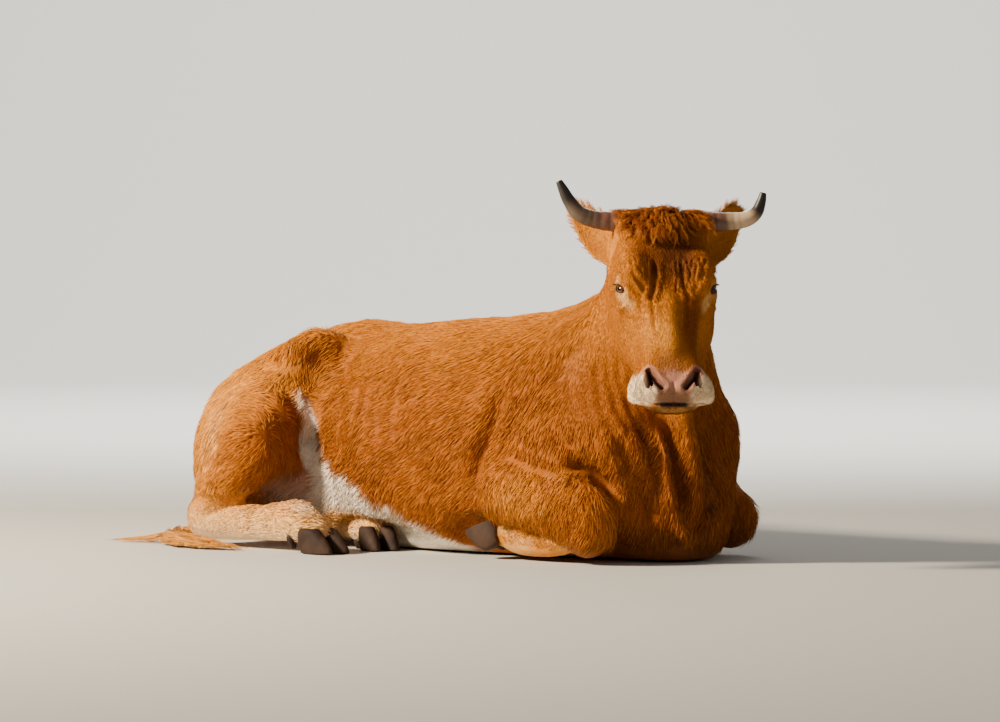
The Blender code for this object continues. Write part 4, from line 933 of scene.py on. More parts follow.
away, share = from_path(at, [(-0.496, -0.186, 0.372), (-0.474, -0.194, 0.315), (-0.449, -0.202, 0.25)])
belly = np.maximum(belly, smooth((0.012 + 0.026 * share - away) / 0.008)) * (1 - on_thigh)
belly = np.where(y > 0, belly * fall(z, 0.13, 0.05), belly)
paint.layer(WHITE, belly)
prong = near(at, (-0.245, -0.298, 0.19), (0.085, 0.07, 0.02), 0.6)
paint.layer(CHESTNUT, prong * 0.9)
groin = near(at, (-0.45, -0.25, 0.13), (0.09, 0.14, 0.09), 0.6) * fall(z, 0.2, 0.04)
paint.layer(UDDER, groin * 0.8)
hind_low = fall(z, 0.135, 0.05) * fall(x, -0.15, 0.05)
paint.layer(CREAM, hind_low * region.leg)
paint.layer(WHITE, 0.35 * region.leg * fall(z, 0.07, 0.05) * fall(x, -0.15, 0.05))
paint.layer(SAND, 0.75 * region.leg * rise(z, 0.07, 0.04) * fall(x, -0.24, 0.05))
fore_low = region.leg * rise(x, 0.15, 0.05)
paint.layer(SAND, fore_low * 0.75)
paint.layer(CREAM, fore_low * smooth(0.3 + 1.4 * ripple(at, 0.05, 21)) * 0.6)
arm = sum(near(at, (0.4, way, 0.15), (0.2, 0.1, 0.1), 0.7) for way in (-0.28, 0.28))
paint.layer(ORANGE, 0.7 * arm)
paint.spots(at, (SAND, 0.6, (0.36, -0.31, 0.15), (0.12, 0.06, 0.07), 0.8))
knee_patch = near(at, (0.462, -0.311, 0.19), (0.034, 0.04, 0.026), 0.6)
paint.layer(WORN, 0.75 * knee_patch)
worn = near(at, (0.452, -0.222, 0.452), (0.036, 0.06, 0.066), 0.55)
paint.layer(WORN, worn * (0.5 + 0.35 * small))
# Darker brown low at the front, near the floor.
low_front = fall(z, 0.1, 0.08) * rise(x, 0.45, 0.08)
paint.layer(LOW_FRONT_BROWN, 0.35 * low_front)

TRUNK_LIE = (-0.8, 0.0, -0.6)
hair_way = np.array(TRUNK_LIE)
squeezed = at - np.outer(at @ hair_way, hair_way) * 0.78
streaks = 0.13 * ripple(squeezed, 0.02, 8) + 0.08 * ripple(squeezed, 0.05, 9)
paint.shade *= 1 + (streaks * region.barrel)[:, None]

u, v, w = face.T
on_head = region.head * rise(w, -0.3, 0.05)
paint.layer(ORANGE, on_head * 0.35)
crown = near(face, (0.1, 0, 0.0), (0.16, 0.105, 0.085), 0.5)
paint.layer(RED_BROWN, crown * (0.75 + 0.2 * small))
paint.spots(
    face,
    # Partly the forehead's own dark brown, partly painted shade on the middle of the face.
    (DARK_BROWN, 0.78, (0.118, 0.02, 0.0), (0.09, 0.085, 0.055), 0.8),
    # Partly the face's golden colour, partly painted light: sand on the lit right side of the bridge.
    (SAND, 0.7, (0.315, -0.014, -0.01), (0.085, 0.045, 0.05), 0.8),
    (ORANGE, 0.6, (0.25, -0.01, 0.0), (0.06, 0.04, 0.04), 0.8),
)
for sign in SIDES.values():
    ring_away, ring_share = from_path(face, [(0.168, sign * 0.108, -0.04), (0.198, sign * 0.1, -0.03),
                                             (0.22, sign * 0.09, -0.034)])
    ring = smooth((0.032 - 0.006 * ring_share + 0.005 * small - ring_away) / 0.022)
    paint.layer(CREAM, ring * (0.72 + 0.2 * small))
    paint.spots(face, (SAND, 0.5, (0.29, sign * 0.095, -0.07), (0.08, 0.04, 0.06), 0.9))
paint.spots(
    face,
    # Partly the face's golden colour, partly painted light: sand on the right cheek, which the main lamp
    # lights.
    (SAND, 0.5, (0.3, -0.05, -0.03), (0.09, 0.05, 0.06), 0.9),
    # Painted shade: red-brown over the left side of the face, away from the main lamp.
    (RED_BROWN, 0.85, (0.29, 0.052, -0.015), (0.12, 0.045, 0.06), 0.7),
)
fine = ripple(face, 0.018, 31)
fluff_from = np.interp(u, [0.37, 0.41, 0.435, 0.455], [0.078, 0.064, 0.04, 0.012])
fluff = smooth((u - 0.366 - 0.01 * fine) / 0.05)
fluff *= smooth((np.abs(v) - fluff_from + 0.005 * fine) / 0.02)
mouth_level = np.interp(np.abs(v), *MOUTH_LEVEL)
fluff *= smooth((w - mouth_level + 0.01 + 0.003 * fine) / 0.012)
outer = fall(u, 0.425, 0.03)
paint.layer(FLUFF_EDGE, np.clip(fluff * 1.5, 0, 1) * on_head * outer)
paint.layer(FLUFF, smooth((fluff - 0.45 * outer) / 0.5) * on_head)
lower = rise(u, 0.4, 0.03) * smooth((mouth_level - 0.004 - w) / 0.006)
beside = rise(np.abs(v), 0.044, 0.022)
# Painted shade: dark brown below the middle of the mouth, under the overhanging upper lip.
paint.layer(UNDER_LIP_SHADE, 0.9 * lower * on_head * (1 - beside))
jowl = lower * on_head * beside
paint.layer(SAND, 0.8 * jowl * smooth((mouth_level - 0.014 - w) / 0.012))
paint.layer(JOWL, jowl * smooth((w - mouth_level + 0.026) / 0.018))
chin = near(face, (0.474, 0, -0.078), (0.05, 0.052, 0.03), 0.6)
paint.layer(CHIN, 0.8 * lower * chin)
bridge_end = near(face, (0.385, 0, -0.02), (0.03, 0.05, 0.05), 0.6)
paint.layer(BRIDGE_END, 0.8 * bridge_end)
pad_half = np.interp(u, [0.385, 0.4, 0.425, 0.441, 0.452, 0.462, 0.48],
                     [0.04, 0.066, 0.068, 0.062, 0.052, 0.048, 0.052])
pad_top = 0.387 + 3.0 * v * v + 0.004 * fine
pad = smooth((pad_half - np.abs(v) + 0.003 * fine) / 0.02) * smooth((u - pad_top) / 0.034)
pad *= rise(w, -0.062, 0.012)
paint.layer(PINK, pad)
low_pad = pad * smooth((u - 0.444 + 0.004 * fine) / 0.018)
paint.layer(PAD_LOW, 0.8 * low_pad)
# The lips' own dark colour together with painted shadow of the upper lip, along the middle of the mouth.
lip_away, _ = from_path(face, [q for q in MOUTH if abs(q[1]) < 0.045])
lip = fall(lip_away, 0.013, 0.01)
paint.layer(LIP_DARK_AND_SHADOW, lip * 0.85)
mouth_away, _ = from_path(face, MOUTH)
# Painted shade: near black along the slit of the mouth.
slit = 1.4 * np.exp(-((mouth_away / 0.0068) ** 2)) * fall(np.abs(v), 0.05, 0.025)
paint.layer(OPENING_SHADE, slit)
wing = np.zeros(len(points))
for sign in SIDES.values():
    away, _ = from_path(face * FLAT, NOSTRIL * np.array((1, sign, 0)))
    level = rise(w, -0.075, 0.02)
    wing = np.maximum(wing, fall(away, 0.023, 0.007) * level)
    paint.layer(PINK, 0.8 * fall(away, 0.02, 0.008) * level * (1 - pad))
    paint.layer(PINK_DARK, 0.8 * fall(away, 0.014, 0.006) * level)
    corner = near(face * FLAT, (0.432, sign * 0.05, 0), (0.018, 0.013, 1.0), 0.6) * level
    paint.layer(PINK_DARK, 0.9 * corner)
    # Painted shade: near black inside the nostril.
    paint.layer(OPENING_SHADE, smooth(1.15 - away / 0.007) * level * 0.97)
bare = np.clip(pad + wing + np.exp(-((mouth_away / 0.009) ** 2)), 0, 1)
thin = (1 - bare) * (1 - 0.45 * worn)
rim = np.zeros(len(points))
for sign in SIDES.values():
    reach = np.linalg.norm(face - np.array(eye_axes(sign)[0]), axis=1)
    rim = np.maximum(rim, smooth((EYE_RADIUS * 1.22 - reach) / 0.0025))
paint.layer(LID_DARK, rim)
thin *= 1 - rim
bare = np.maximum(bare, rim)
ears = np.zeros(len(points))
cup = np.zeros(len(points))
for sign in SIDES.values():
    root, tip, along, opening, _ = (np.array(q) for q in ear_axes(sign))
    local = face - root
    share = (local @ along) / np.linalg.norm(tip - root)
    off = local - np.outer(local @ along, along)
    inside = (share > 0.12) & (share < 1.05) & (np.linalg.norm(off, axis=1) < 0.055)
    inside &= sign * v > 0.096
    ears = np.where(inside, rise(share, 0.1, 0.15), ears)
    looks = (normals @ np.array(HEAD.to_3x3())) @ opening
    cup = np.where(inside & (looks > 0.1), 1.0, cup)
paint.layer(ORANGE, ears * 0.8)
paint.layer(EAR_CUP, cup * 0.8)
print("painted", len(points), "points, bare", round(float(bare.mean()), 3))


def keep_attribute(mesh, name, kind, values):
    """Stores one value a point on a mesh."""
    made = mesh.attributes.new(name, kind, "POINT")
    values = np.asarray(values, np.float32)
    if kind == "FLOAT_COLOR":
        values = np.concatenate([values, np.ones((len(values), 1), np.float32)], axis=1)
    key = {"FLOAT": "value", "FLOAT_VECTOR": "vector", "FLOAT_COLOR": "color"}[kind]
    made.data.foreach_set(key, values.ravel())


keep_attribute(skin.data, "shade", "FLOAT_COLOR", paint.shade)
keep_attribute(skin.data, "bare", "FLOAT", bare)

# %% [markdown]
# ## Materials
# Skin and coat read the painted colour. The skin adds a fine grain of lying hair by bump, and
# on the nose pad a cobbled, moist surface. Small wrapped sockets keep the sums readable.

# %% A small language for material trees
def put(tree, slot, value):
    """Links a value of a tree to a slot, or sets the slot to a number."""
    if isinstance(value, Wire):
        value = value.socket
    if isinstance(value, bpy.types.NodeSocket):
        tree.links.new(value, slot)
    else:
        slot.default_value = value


def new_node(tree, kind, settings, inputs):
    """A node with its settings, and inputs by name, or by number as i0, i1 and so on."""
    made = tree.nodes.new(kind)
    for key, value in (settings or {}).items():
        setattr(made, key, value)
    for key, value in inputs.items():
        place = int(key[1:]) if key[0] == "i" and key[1:].isdigit() else key.replace("_", " ")
        put(tree, made.inputs[place], value)
    return made


class Wire:
    """A value in a material tree that takes part in sums."""

    def __init__(self, tree, socket):
        self.tree, self.socket = tree, socket

    def _math(self, operation, first, second):
        made = self.tree.nodes.new("ShaderNodeMath")
        made.operation = operation
        for slot, value in zip(made.inputs, (first, second)):
            put(self.tree, slot, value)
        return Wire(self.tree, made.outputs[0])

    def __add__(self, other):
        return self._math("ADD", self, other)

    __radd__ = __add__

    def __mul__(self, other):
        return self._math("MULTIPLY", self, other)

    __rmul__ = __mul__

    def __sub__(self, other):
        return self._math("SUBTRACT", self, other)

    def __rsub__(self, other):
        return self._math("SUBTRACT", other, self)


class Finish:
    """A material whose tree is built node by node."""

    def __init__(self, name, colour, roughness, **constants):
        self.material = bpy.data.materials.new(name)
        self.material.use_nodes = True
        self.tree = self.material.node_tree
        self.shader = self.tree.nodes["Principled BSDF"]
        self.shader.inputs["Base Color"].default_value = (*colour, 1)
        self.shader.inputs["Roughness"].default_value = roughness
        for key, value in constants.items():
            self.shader.inputs[key.replace("_", " ")].default_value = value

    def node(self, kind, settings=None, output=0, **inputs):
        return Wire(self.tree, new_node(self.tree, kind, settings, inputs).outputs[output])

    def attribute(self, name, output):
        return self.node("ShaderNodeAttribute", {"attribute_name": name}, output)

    def place(self):
        return self.node("ShaderNodeTexCoord", None, "Object")

    def noise(self, scale, detail=3.0):
        return self.node("ShaderNodeTexNoise", None, "Fac", Vector=self.place(), Scale=scale,
                         Detail=detail)

    def cells(self, feature, scale):
        return self.node("ShaderNodeTexVoronoi", {"feature": feature}, "Distance",
                         Vector=self.place(), Scale=scale)

    def mix(self, share, one, other):
        one, other = (value if isinstance(value, Wire) else (*value, 1) for value in (one, other))
        return self.node("ShaderNodeMix", {"data_type": "RGBA"}, 2, i0=share, i6=one, i7=other)

    def ramp(self, value, low, high, to_low=0.0, to_high=1.0):
        return self.node("ShaderNodeMapRange", {"interpolation_type": "SMOOTHSTEP"}, 0,
                         i0=value, i1=low, i2=high, i3=to_low, i4=to_high)

    def set(self, key, value):
        self.tree.links.new(value.socket, self.shader.inputs[key])

    def bump(self, height, strength, distance):
        self.set("Normal", self.node("ShaderNodeBump", None, "Normal", Height=height,
                                     Strength=strength, Distance=distance))


# %% Skin and coat materials
def skin_material():
    made = Finish("skin", CHESTNUT, 0.7, Specular_IOR_Level=0.22)
    colour = made.attribute("shade", "Color")
    bare = made.attribute("bare", "Fac")
    grain = made.noise(420.0, 4.0)
    patchy = made.noise(26.0, 3.0)
    darker = made.mix(made.ramp(grain, 0.35, 0.65, 0.0, 0.35), colour, (0.08, 0.02, 0.006))
    darker = made.mix(made.ramp(patchy, 0.45, 0.75, 0.0, 0.18), darker, (0.12, 0.04, 0.015))
    freckle = made.cells("F1", 150.0)
    dots = made.ramp(freckle, 0.18, 0.32, 1.0, 0.0) * made.ramp(made.noise(60.0), 0.52, 0.62)
    painted = made.mix(dots * bare * 0.8, made.mix(bare, darker, colour), (0.05, 0.022, 0.016))
    made.set("Base Color", painted)
    made.set("Roughness", 0.78 - bare * 0.36 + grain * 0.06)
    cobbles = made.cells("SMOOTH_F1", 230.0)
    hair = grain * 0.6 + made.noise(900.0, 2.0) * 0.4
    made.bump(hair * (1.0 - bare) + cobbles * bare * -0.8, 0.55, 0.0016)
    return made.material


def coat_material(name, tip_colour, tip_share, roughness=0.52):
    made = Finish(name, CHESTNUT, roughness, Specular_IOR_Level=0.11)
    colour = made.attribute("shade", "Color")
    tone = made.attribute("tone", "Fac")
    tip = made.attribute("tip", "Fac")
    dark = made.mix(made.ramp(tone, 0.0, 0.5, 0.22, 0.0), colour, (0.09, 0.022, 0.004))
    light = made.mix(made.ramp(tone, 0.55, 1.0, 0.0, 0.24), dark, (0.95, 0.42, 0.035))
    rooted = made.mix(made.ramp(tip, 0.0, 0.5, 0.26, 0.0), light, (0.13, 0.034, 0.006))
    tipped = made.mix(made.ramp(tip, 0.4, 1.0, 0.0, tip_share), rooted, tip_colour)
    made.set("Base Color", tipped)
    return made.material


SKIN = skin_material()
COAT = coat_material("coat", (0.92, 0.42, 0.04), 0.13)
LONG = coat_material("long_hair", (0.85, 0.38, 0.06), 0.16, 0.5)
skin.data.materials.clear()
skin.data.materials.append(SKIN)

# %% [markdown]
# ## Which way the hair lies
# On the trunk the hair runs back and down, on the legs along the limb, on the face down from the
# forehead and outward, on the ears toward the tip. A slow turn is added so that the coat falls
# into streaks. Length, width and number of tufts follow the region too.

# %% Lie, length and density of the coat
count = len(points)
lie = np.tile(np.array(TRUNK_LIE), (count, 1))
lie = mixed(lie, (-0.35, 0, -0.95), rise(x, 0.2, 0.15))
lie = mixed(lie, (-0.2, 0, -1.0), fall(x, -0.45, 0.12))
lie = mixed(lie, (0.95, -0.05, -0.2), region.leg * fall(x, -0.1, 0.05))
lie = mixed(lie, (0.6, 0.0, -0.6), region.leg * rise(x, 0.2, 0.05))
down_face = np.array(HEAD.to_3x3()) @ np.array((1.0, 0, 0))
aside = np.array(HEAD.to_3x3()) @ np.array((0, 1.0, 0))
fan = down_face + aside * np.clip(v / 0.1, -1.3, 1.3)[:, None] * 0.45
lie += (fan - lie) * region.head[:, None]
for sign in SIDES.values():
    way = np.array(HEAD.to_3x3() @ ear_axes(sign)[2])
    mine = ears * (sign * v > 0)
    lie += (way - lie) * mine[:, None]
lie = mixed(lie, (0.25, -0.35, -0.9), region.tail * rise(z, 0.1, 0.05))
turned = np.cross(normals, lie)
swing = 0.34 * ripple(at, 0.15, 12) + 0.13 * ripple(at, 0.05, 13)
swing *= 1 - 0.5 * region.head
lie = lie + turned * swing[:, None]
lie -= normals * np.sum(lie * normals, axis=1)[:, None]
lie /= np.maximum(np.linalg.norm(lie, axis=1), 1e-6)[:, None]
lie[:, 2] *= rise(z, 0.012, 0.05)

long = 0.034 + 0.004 * spread
long = long + (0.011 - long) * region.head
long = long + (0.0075 - long) * region.head * rise(u, 0.22, 0.06)
long = long + (0.017 - long) * np.clip(fluff, 0, 1) * region.head
long = long + (0.014 - long) * region.leg
long = long + (0.012 - long) * ears
long = long + (0.028 - long) * belly
long = long + (0.014 - long) * worn
near_mouth = region.head * fall(mouth_away, 0.035, 0.025)
long = long + (0.006 - long) * near_mouth
wide = np.clip(long * 0.07, 0.0009, 0.0022)
cover = thin * np.where(normals[:, 2] < -0.4, rise(z, 0.03, 0.03), 1.0)
cover *= rise(z, 0.008, 0.008)
cover *= 1 - 0.6 * cup
density = cover / (long * wide)
keep_attribute(skin.data, "lie", "FLOAT_VECTOR", lie)
keep_attribute(skin.data, "long", "FLOAT", long)
keep_attribute(skin.data, "wide", "FLOAT", wide)

triangles = np.empty(len(skin.data.loop_triangles) * 3, np.int32)
skin.data.calc_loop_triangles()
skin.data.loop_triangles.foreach_get("vertices", triangles)
triangles = triangles.reshape(-1, 3)
corners = points[triangles]
crossed = np.cross(corners[:, 1] - corners[:, 0], corners[:, 2] - corners[:, 0])
areas = np.linalg.norm(crossed, axis=1) / 2
mass = np.zeros(count)
for k in range(3):
    mass += np.bincount(triangles[:, k], areas / 3, count)
print("skin area", round(areas.sum(), 2), "m2, tufts at full cover", int((mass * density).sum()))

# %% [markdown]
# ## Tufts
# A tuft is a thin closed blade: a root of three points under the skin, a wider ring at its
# middle and a point. Geometry Nodes scatter it on the skin, turn it along the lie, give it a
# length and a tone, and place its patch on the skin's unwrap at the root.

# %% One blade, in three bends
BLADE_FACES = 10
BENDS = {"a": (0.3, 0.7), "b": (-0.35, -0.9), "c": (0.1, -0.2)}


def blade(name, bend):
    middle, end = bend
    rings = [(0.0, 0.0, -0.55, 0.4), (0.45, middle, 0.35, 0.5)]
    vertices, patch = [], []
    for share, y, z, half in rings:
        for dy, dz in ((-half, 0.0), (half, 0.0), (0.0, 0.34)):
            vertices.append((share, y + dy, z + dz))
            patch.append((share - 0.5, dy, 0.0))
    vertices.append((1.0, end, 0.15))
    patch.append((0.5, 0.0, 0.0))
    faces = [(0, 1, 2)]
    for k in range(3):
        n = (k + 1) % 3
        faces += [(k, 3 + k, 3 + n), (k, 3 + n, n), (3 + k, 6, 3 + n)]
    made = mesh_object(name, vertices, faces)
    with edited(made.data) as work:
        bmesh.ops.recalc_face_normals(work, faces=work.faces)
    keep_attribute(made.data, "tip", "FLOAT", [v[0] for v in vertices])
    keep_attribute(made.data, "patch", "FLOAT_VECTOR", patch)
    return made


blades = bpy.data.collections.new("blades")
for name, bend in BENDS.items():
    made = blade("blade_" + name, bend)
    bpy.context.scene.collection.objects.unlink(made)
    blades.objects.link(made)


# %% The tree that sets the tufts
class Grower:
    """A Geometry Nodes tree with named inputs."""

    def __init__(self, name):
        self.tree = bpy.data.node_groups.new(name, "GeometryNodeTree")
        self.tree.interface.new_socket("Geometry", in_out="OUTPUT", socket_type="NodeSocketGeometry")
        self.tree.interface.new_socket("Geometry", in_out="INPUT", socket_type="NodeSocketGeometry")
        self.keys = {}
        self.entry = None

    def input(self, name, kind):
        made = self.tree.interface.new_socket(name, in_out="INPUT", socket_type=kind)
        self.keys[name] = made.identifier

    def open(self):
        self.entry = self.tree.nodes.new("NodeGroupInput")

    def given(self, name):
        return self.entry.outputs[name]

    def node(self, kind, settings=None, output=0, **inputs):
        return new_node(self.tree, kind, settings, inputs).outputs[output]

    def attribute(self, name, kind="FLOAT"):
        return self.node("GeometryNodeInputNamedAttribute", {"data_type": kind}, 0, Name=name)

    def random(self, low, high, seed, kind="FLOAT"):
        made = self.tree.nodes.new("FunctionNodeRandomValue")
        made.data_type = kind
        live = [slot for slot in made.inputs if slot.enabled]
        live[0].default_value, live[1].default_value = low, high
        made.inputs["Seed"].default_value = seed
        return [slot for slot in made.outputs if slot.enabled][0]

    def math(self, operation, first, second):
        return self.node("ShaderNodeMath", {"operation": operation}, 0, i0=first, i1=second)

    def vector(self, operation, output=0, **inputs):
        return self.node("ShaderNodeVectorMath", {"operation": operation}, output, **inputs)


grower = Grower("tufts")
for name, kind in {"Density": "Float", "Lift": "Float", "Seed": "Int", "Blades": "Collection",
                   "Material": "Material"}.items():
    grower.input(name, "NodeSocket" + kind)
grower.open()
number = grower.math("MULTIPLY", grower.attribute("density"), grower.given("Density"))
spread_out = grower.tree.nodes.new("GeometryNodeDistributePointsOnFaces")
grower.tree.links.new(grower.given("Geometry"), spread_out.inputs["Mesh"])
grower.tree.links.new(number, spread_out.inputs["Density"])
grower.tree.links.new(grower.given("Seed"), spread_out.inputs["Seed"])
toned = grower.node("GeometryNodeStoreNamedAttribute", {"data_type": "FLOAT", "domain": "POINT"},
                    Geometry=spread_out.outputs["Points"], Name="tone", i3=grower.random(0.0, 1.0, 3))
lying = grower.node("FunctionNodeAxesToRotation", {"primary_axis": "X", "secondary_axis": "Z"},
                    Primary_Axis=grower.attribute("lie", "FLOAT_VECTOR"),
                    Secondary_Axis=spread_out.outputs["Normal"])
jitter = grower.random((-0.5, -0.06, -0.1), (0.5, 0.05, 0.1), 5, "FLOAT_VECTOR")
raised = grower.node("ShaderNodeCombineXYZ", None, 0,
                     Y=grower.math("MULTIPLY", grower.given("Lift"), -1.0))
euler = grower.vector("ADD", i0=jitter, i1=raised)
turn_by = grower.node("FunctionNodeEulerToRotation", None, 0, Euler=euler)
rotation = grower.node("FunctionNodeRotateRotation", {"rotation_space": "LOCAL"}, 0,
                       Rotation=lying, Rotate_By=turn_by)
length = grower.math("MULTIPLY", grower.attribute("long"), grower.random(0.65, 1.25, 7))
width = grower.math("MULTIPLY", grower.attribute("wide"), grower.random(0.7, 1.25, 9))
size = grower.node("ShaderNodeCombineXYZ", None, 0, X=length, Y=width, Z=width)
kinds = grower.node("GeometryNodeCollectionInfo", None, 0, Collection=grower.given("Blades"),
                    Separate_Children=True, Reset_Children=True)
placed = grower.node("GeometryNodeInstanceOnPoints", None, 0, Points=toned, Instance=kinds,
                     Pick_Instance=True, Rotation=rotation, Scale=size)
real = grower.node("GeometryNodeRealizeInstances", None, 0, Geometry=placed)
PATCH = 0.003
spot = grower.vector("SCALE", i0=grower.attribute("patch", "FLOAT_VECTOR"), Scale=PATCH)
where = grower.vector("ADD", i0=grower.attribute("root_uv", "FLOAT_VECTOR"), i1=spot)
mapped = grower.node("GeometryNodeStoreNamedAttribute", {"data_type": "FLOAT2", "domain": "CORNER"},
                     Geometry=real, Name="OFBake", i3=where)
dressed = grower.node("GeometryNodeSetMaterial", None, 0, Geometry=mapped,
                      Material=grower.given("Material"))
leave = grower.tree.nodes.new("NodeGroupOutput")
grower.tree.links.new(dressed, leave.inputs[0])


def grown(name, mask, scale, lift, seed, material):
    """The tufts of one region, as a mesh of their own."""
    carrier = new_object(name, skin.data.copy())
    keep_attribute(carrier.data, "density", "FLOAT", density * mask)
    change = carrier.modifiers.new("tufts", "NODES")
    change.node_group = grower.tree
    given = {"Density": scale, "Lift": lift, "Seed": seed, "Blades": blades, "Material": material}
    for key, value in given.items():
        change[grower.keys[key]] = value
    result = applied(carrier).data
    for extra in ("lie", "long", "wide", "density", "patch", "bare", "root_uv"):
        if extra in result.attributes:
            result.attributes.remove(result.attributes[extra])
    print(name, "tufts", len(result.polygons) // BLADE_FACES)
    return clothed(carrier, material)


# %% Grow the coat, region by region
root_uv = skin.data.attributes.new("root_uv", "FLOAT_VECTOR", "CORNER")
flat_uv = np.zeros((len(skin.data.loops), 3), np.float32)
flat_uv[:, :2] = corner_uv.reshape(-1, 2)
root_uv.data.foreach_set("vector", flat_uv.ravel())

MOST_TUFTS = 19000
HEAD_TUFTS, BODY_TUFTS = 46000, 86000
coat = []
head_mask = (region.head > 0.5).astype(float)
FIRST_SEED = 100
for part_name, mask, budget, order, lift in (
        ("coat_head", head_mask, HEAD_TUFTS, u, 0.12),
        ("coat_body", 1 - head_mask, BODY_TUFTS, x, 0.06)):
    weight = mass * density * mask
    scale = budget / weight.sum()
    pieces = math.ceil(budget / MOST_TUFTS)
    ranked = np.argsort(order)
    level = np.cumsum(weight[ranked]) / weight.sum()
    slice_of = np.empty(count, int)
    slice_of[ranked] = np.minimum((level * pieces).astype(int), pieces - 1)
    for k in range(pieces):
        name = part_name + "_" + str(k + 1)
        coat.append(grown(name, mask * (slice_of == k), scale, lift, FIRST_SEED + k, COAT))
print("coat triangles", sum(len(piece.data.polygons) for piece in coat))

# %% [markdown]
# ## Long hair
# Curls on the poll, the switch of the tail, the fringe of the ears and the lashes are strands:
# thin closed tubes of three sides that taper to a point, bundled so that the hairs of a curl
# start apart, lie close at its middle and end together.

# %% Strands
LOWEST_HAIR = 0.0012


class Hairs:
    """Collects strands and turns them into one mesh."""

    def __init__(self, name, seed):
        self.name = name
        self.draw = random.Random(seed)
        self.vertices, self.faces, self.tips, self.tones, self.roots = [], [], [], [], []

    def strand(self, path, thick, tone):
        path = [Vector(p) for p in path]
        start = len(self.vertices)
        last = len(path) - 1
        for i, p in enumerate(path[:-1]):
            way = (path[i + 1] - path[max(i - 1, 0)]).normalized()
            side = way.orthogonal().normalized()
            other = way.cross(side)
            share = i / last
            half = thick * (0.75 + 0.5 * share - 1.05 * share * share)
            for k in range(3):
                a = 2 * math.pi * k / 3 + 0.4 * i
                self.vertices.append(p + (side * math.cos(a) + other * math.sin(a)) * half)
                self.tips.append(share)
        self.vertices.append(path[-1])
        self.tips.append(1.0)
        self.faces.append((start + 2, start + 1, start))
        for i in range(last - 1):
            for k in range(3):
                a, b = start + 3 * i + k, start + 3 * i + (k + 1) % 3
                self.faces += [(a, b, b + 3), (a, b + 3, a + 3)]
        end = start + 3 * last
        for k in range(3):
            self.faces.append((end - 3 + k, end - 3 + (k + 1) % 3, end))
        grown_now = len(self.vertices) - start
        self.tones += [tone] * grown_now
        self.roots += [path[0]] * grown_now

    def bundle(self, path, number, width, thick, twist=1.0):
        """Strands round one path, which gather toward its end."""
        path = [Vector(p) for p in path]
        last = len(path) - 1
        for _ in range(number):
            angle, out = self.draw.uniform(0, 6.28), width * math.sqrt(self.draw.random())
            turns = twist * self.draw.uniform(0.6, 1.4)
            short = self.draw.uniform(0.78, 1.0)
            mine = []
            for i, p in enumerate(path):
                way = (path[min(i + 1, last)] - path[max(i - 1, 0)]).normalized()
                side = way.cross(Vector((0.3, 0.2, 0.93))).normalized()
                other = way.cross(side)
                share = i / last
                a = angle + turns * share * 3.0
                gather = out * (1.0 - 0.72 * share)
                spot = p + (side * math.cos(a) + other * math.sin(a)) * gather
                spot.z = max(spot.z, LOWEST_HAIR)
                mine.append(spot)
            if short < 0.9:
                mine = mine[:-1]
            self.strand(mine, thick * self.draw.uniform(0.7, 1.2), self.draw.random())

    def made(self, material, slot, colour, replaced=()):
        """Makes the strands one piece on the root body and hides the solids it stands for; colour(roots)
        gives each root's shade.
        """
        piece = mesh_object(self.name, self.vertices, self.faces)
        mesh = piece.data
        keep_attribute(mesh, "tip", "FLOAT", self.tips)
        keep_attribute(mesh, "tone", "FLOAT", self.tones)
        roots = np.array([tuple(r) for r in self.roots])
        keep_attribute(mesh, "shade", "FLOAT_COLOR", colour(roots))
        keys, index = np.unique(np.round(roots, 5), axis=0, return_inverse=True)
        spots = np.zeros((len(keys), 2))
        for i, key in enumerate(keys):
            _, _, face_index, _ = skin_tree.find_nearest(Vector(key))
            spots[i] = triangle_uv[face_index]
        per_point = spots[index.reshape(-1)]
        side = np.array([(k % 3) - 1 for k in range(len(self.vertices))])
        per_point = per_point + PATCH * np.stack([np.array(self.tips) - 0.5, 0.4 * side], axis=1)
        layer = mesh.uv_layers.new(name="OFBake")
        loops = np.empty(len(mesh.loops), np.int32)
        mesh.loops.foreach_get("vertex_index", loops)
        layer.data.foreach_set("uv", per_point[loops].astype(np.float32).ravel())
        handed_in(clothed(piece, material), replaced)
        print(self.name, "triangles", len(mesh.polygons))


skin.data.calc_loop_triangles()
skin_tree = search_tree(skin)
triangle_loops = np.empty(len(skin.data.loop_triangles) * 3, np.int32)
skin.data.loop_triangles.foreach_get("loops", triangle_loops)
triangle_uv = corner_uv.reshape(-1, 2)[triangle_loops].reshape(-1, 3, 2).mean(axis=1)


def on_skin(place):
    """The nearest point and normal of the skin to a place in the head's axes, in those axes."""
    found, normal, _, _ = skin_tree.find_nearest(HEAD @ Vector(place))
    return TO_HEAD @ found, TO_HEAD.to_3x3() @ normal


def between_colours(first, second):
    """Roots take a colour between two, by a slow ripple over their places."""
    def colour(roots):
        share = (ripple(roots, 0.02, 41) * 0.5 + 0.5)[:, None]
        return np.array(first) * (1 - share) + np.array(second) * share
    return colour


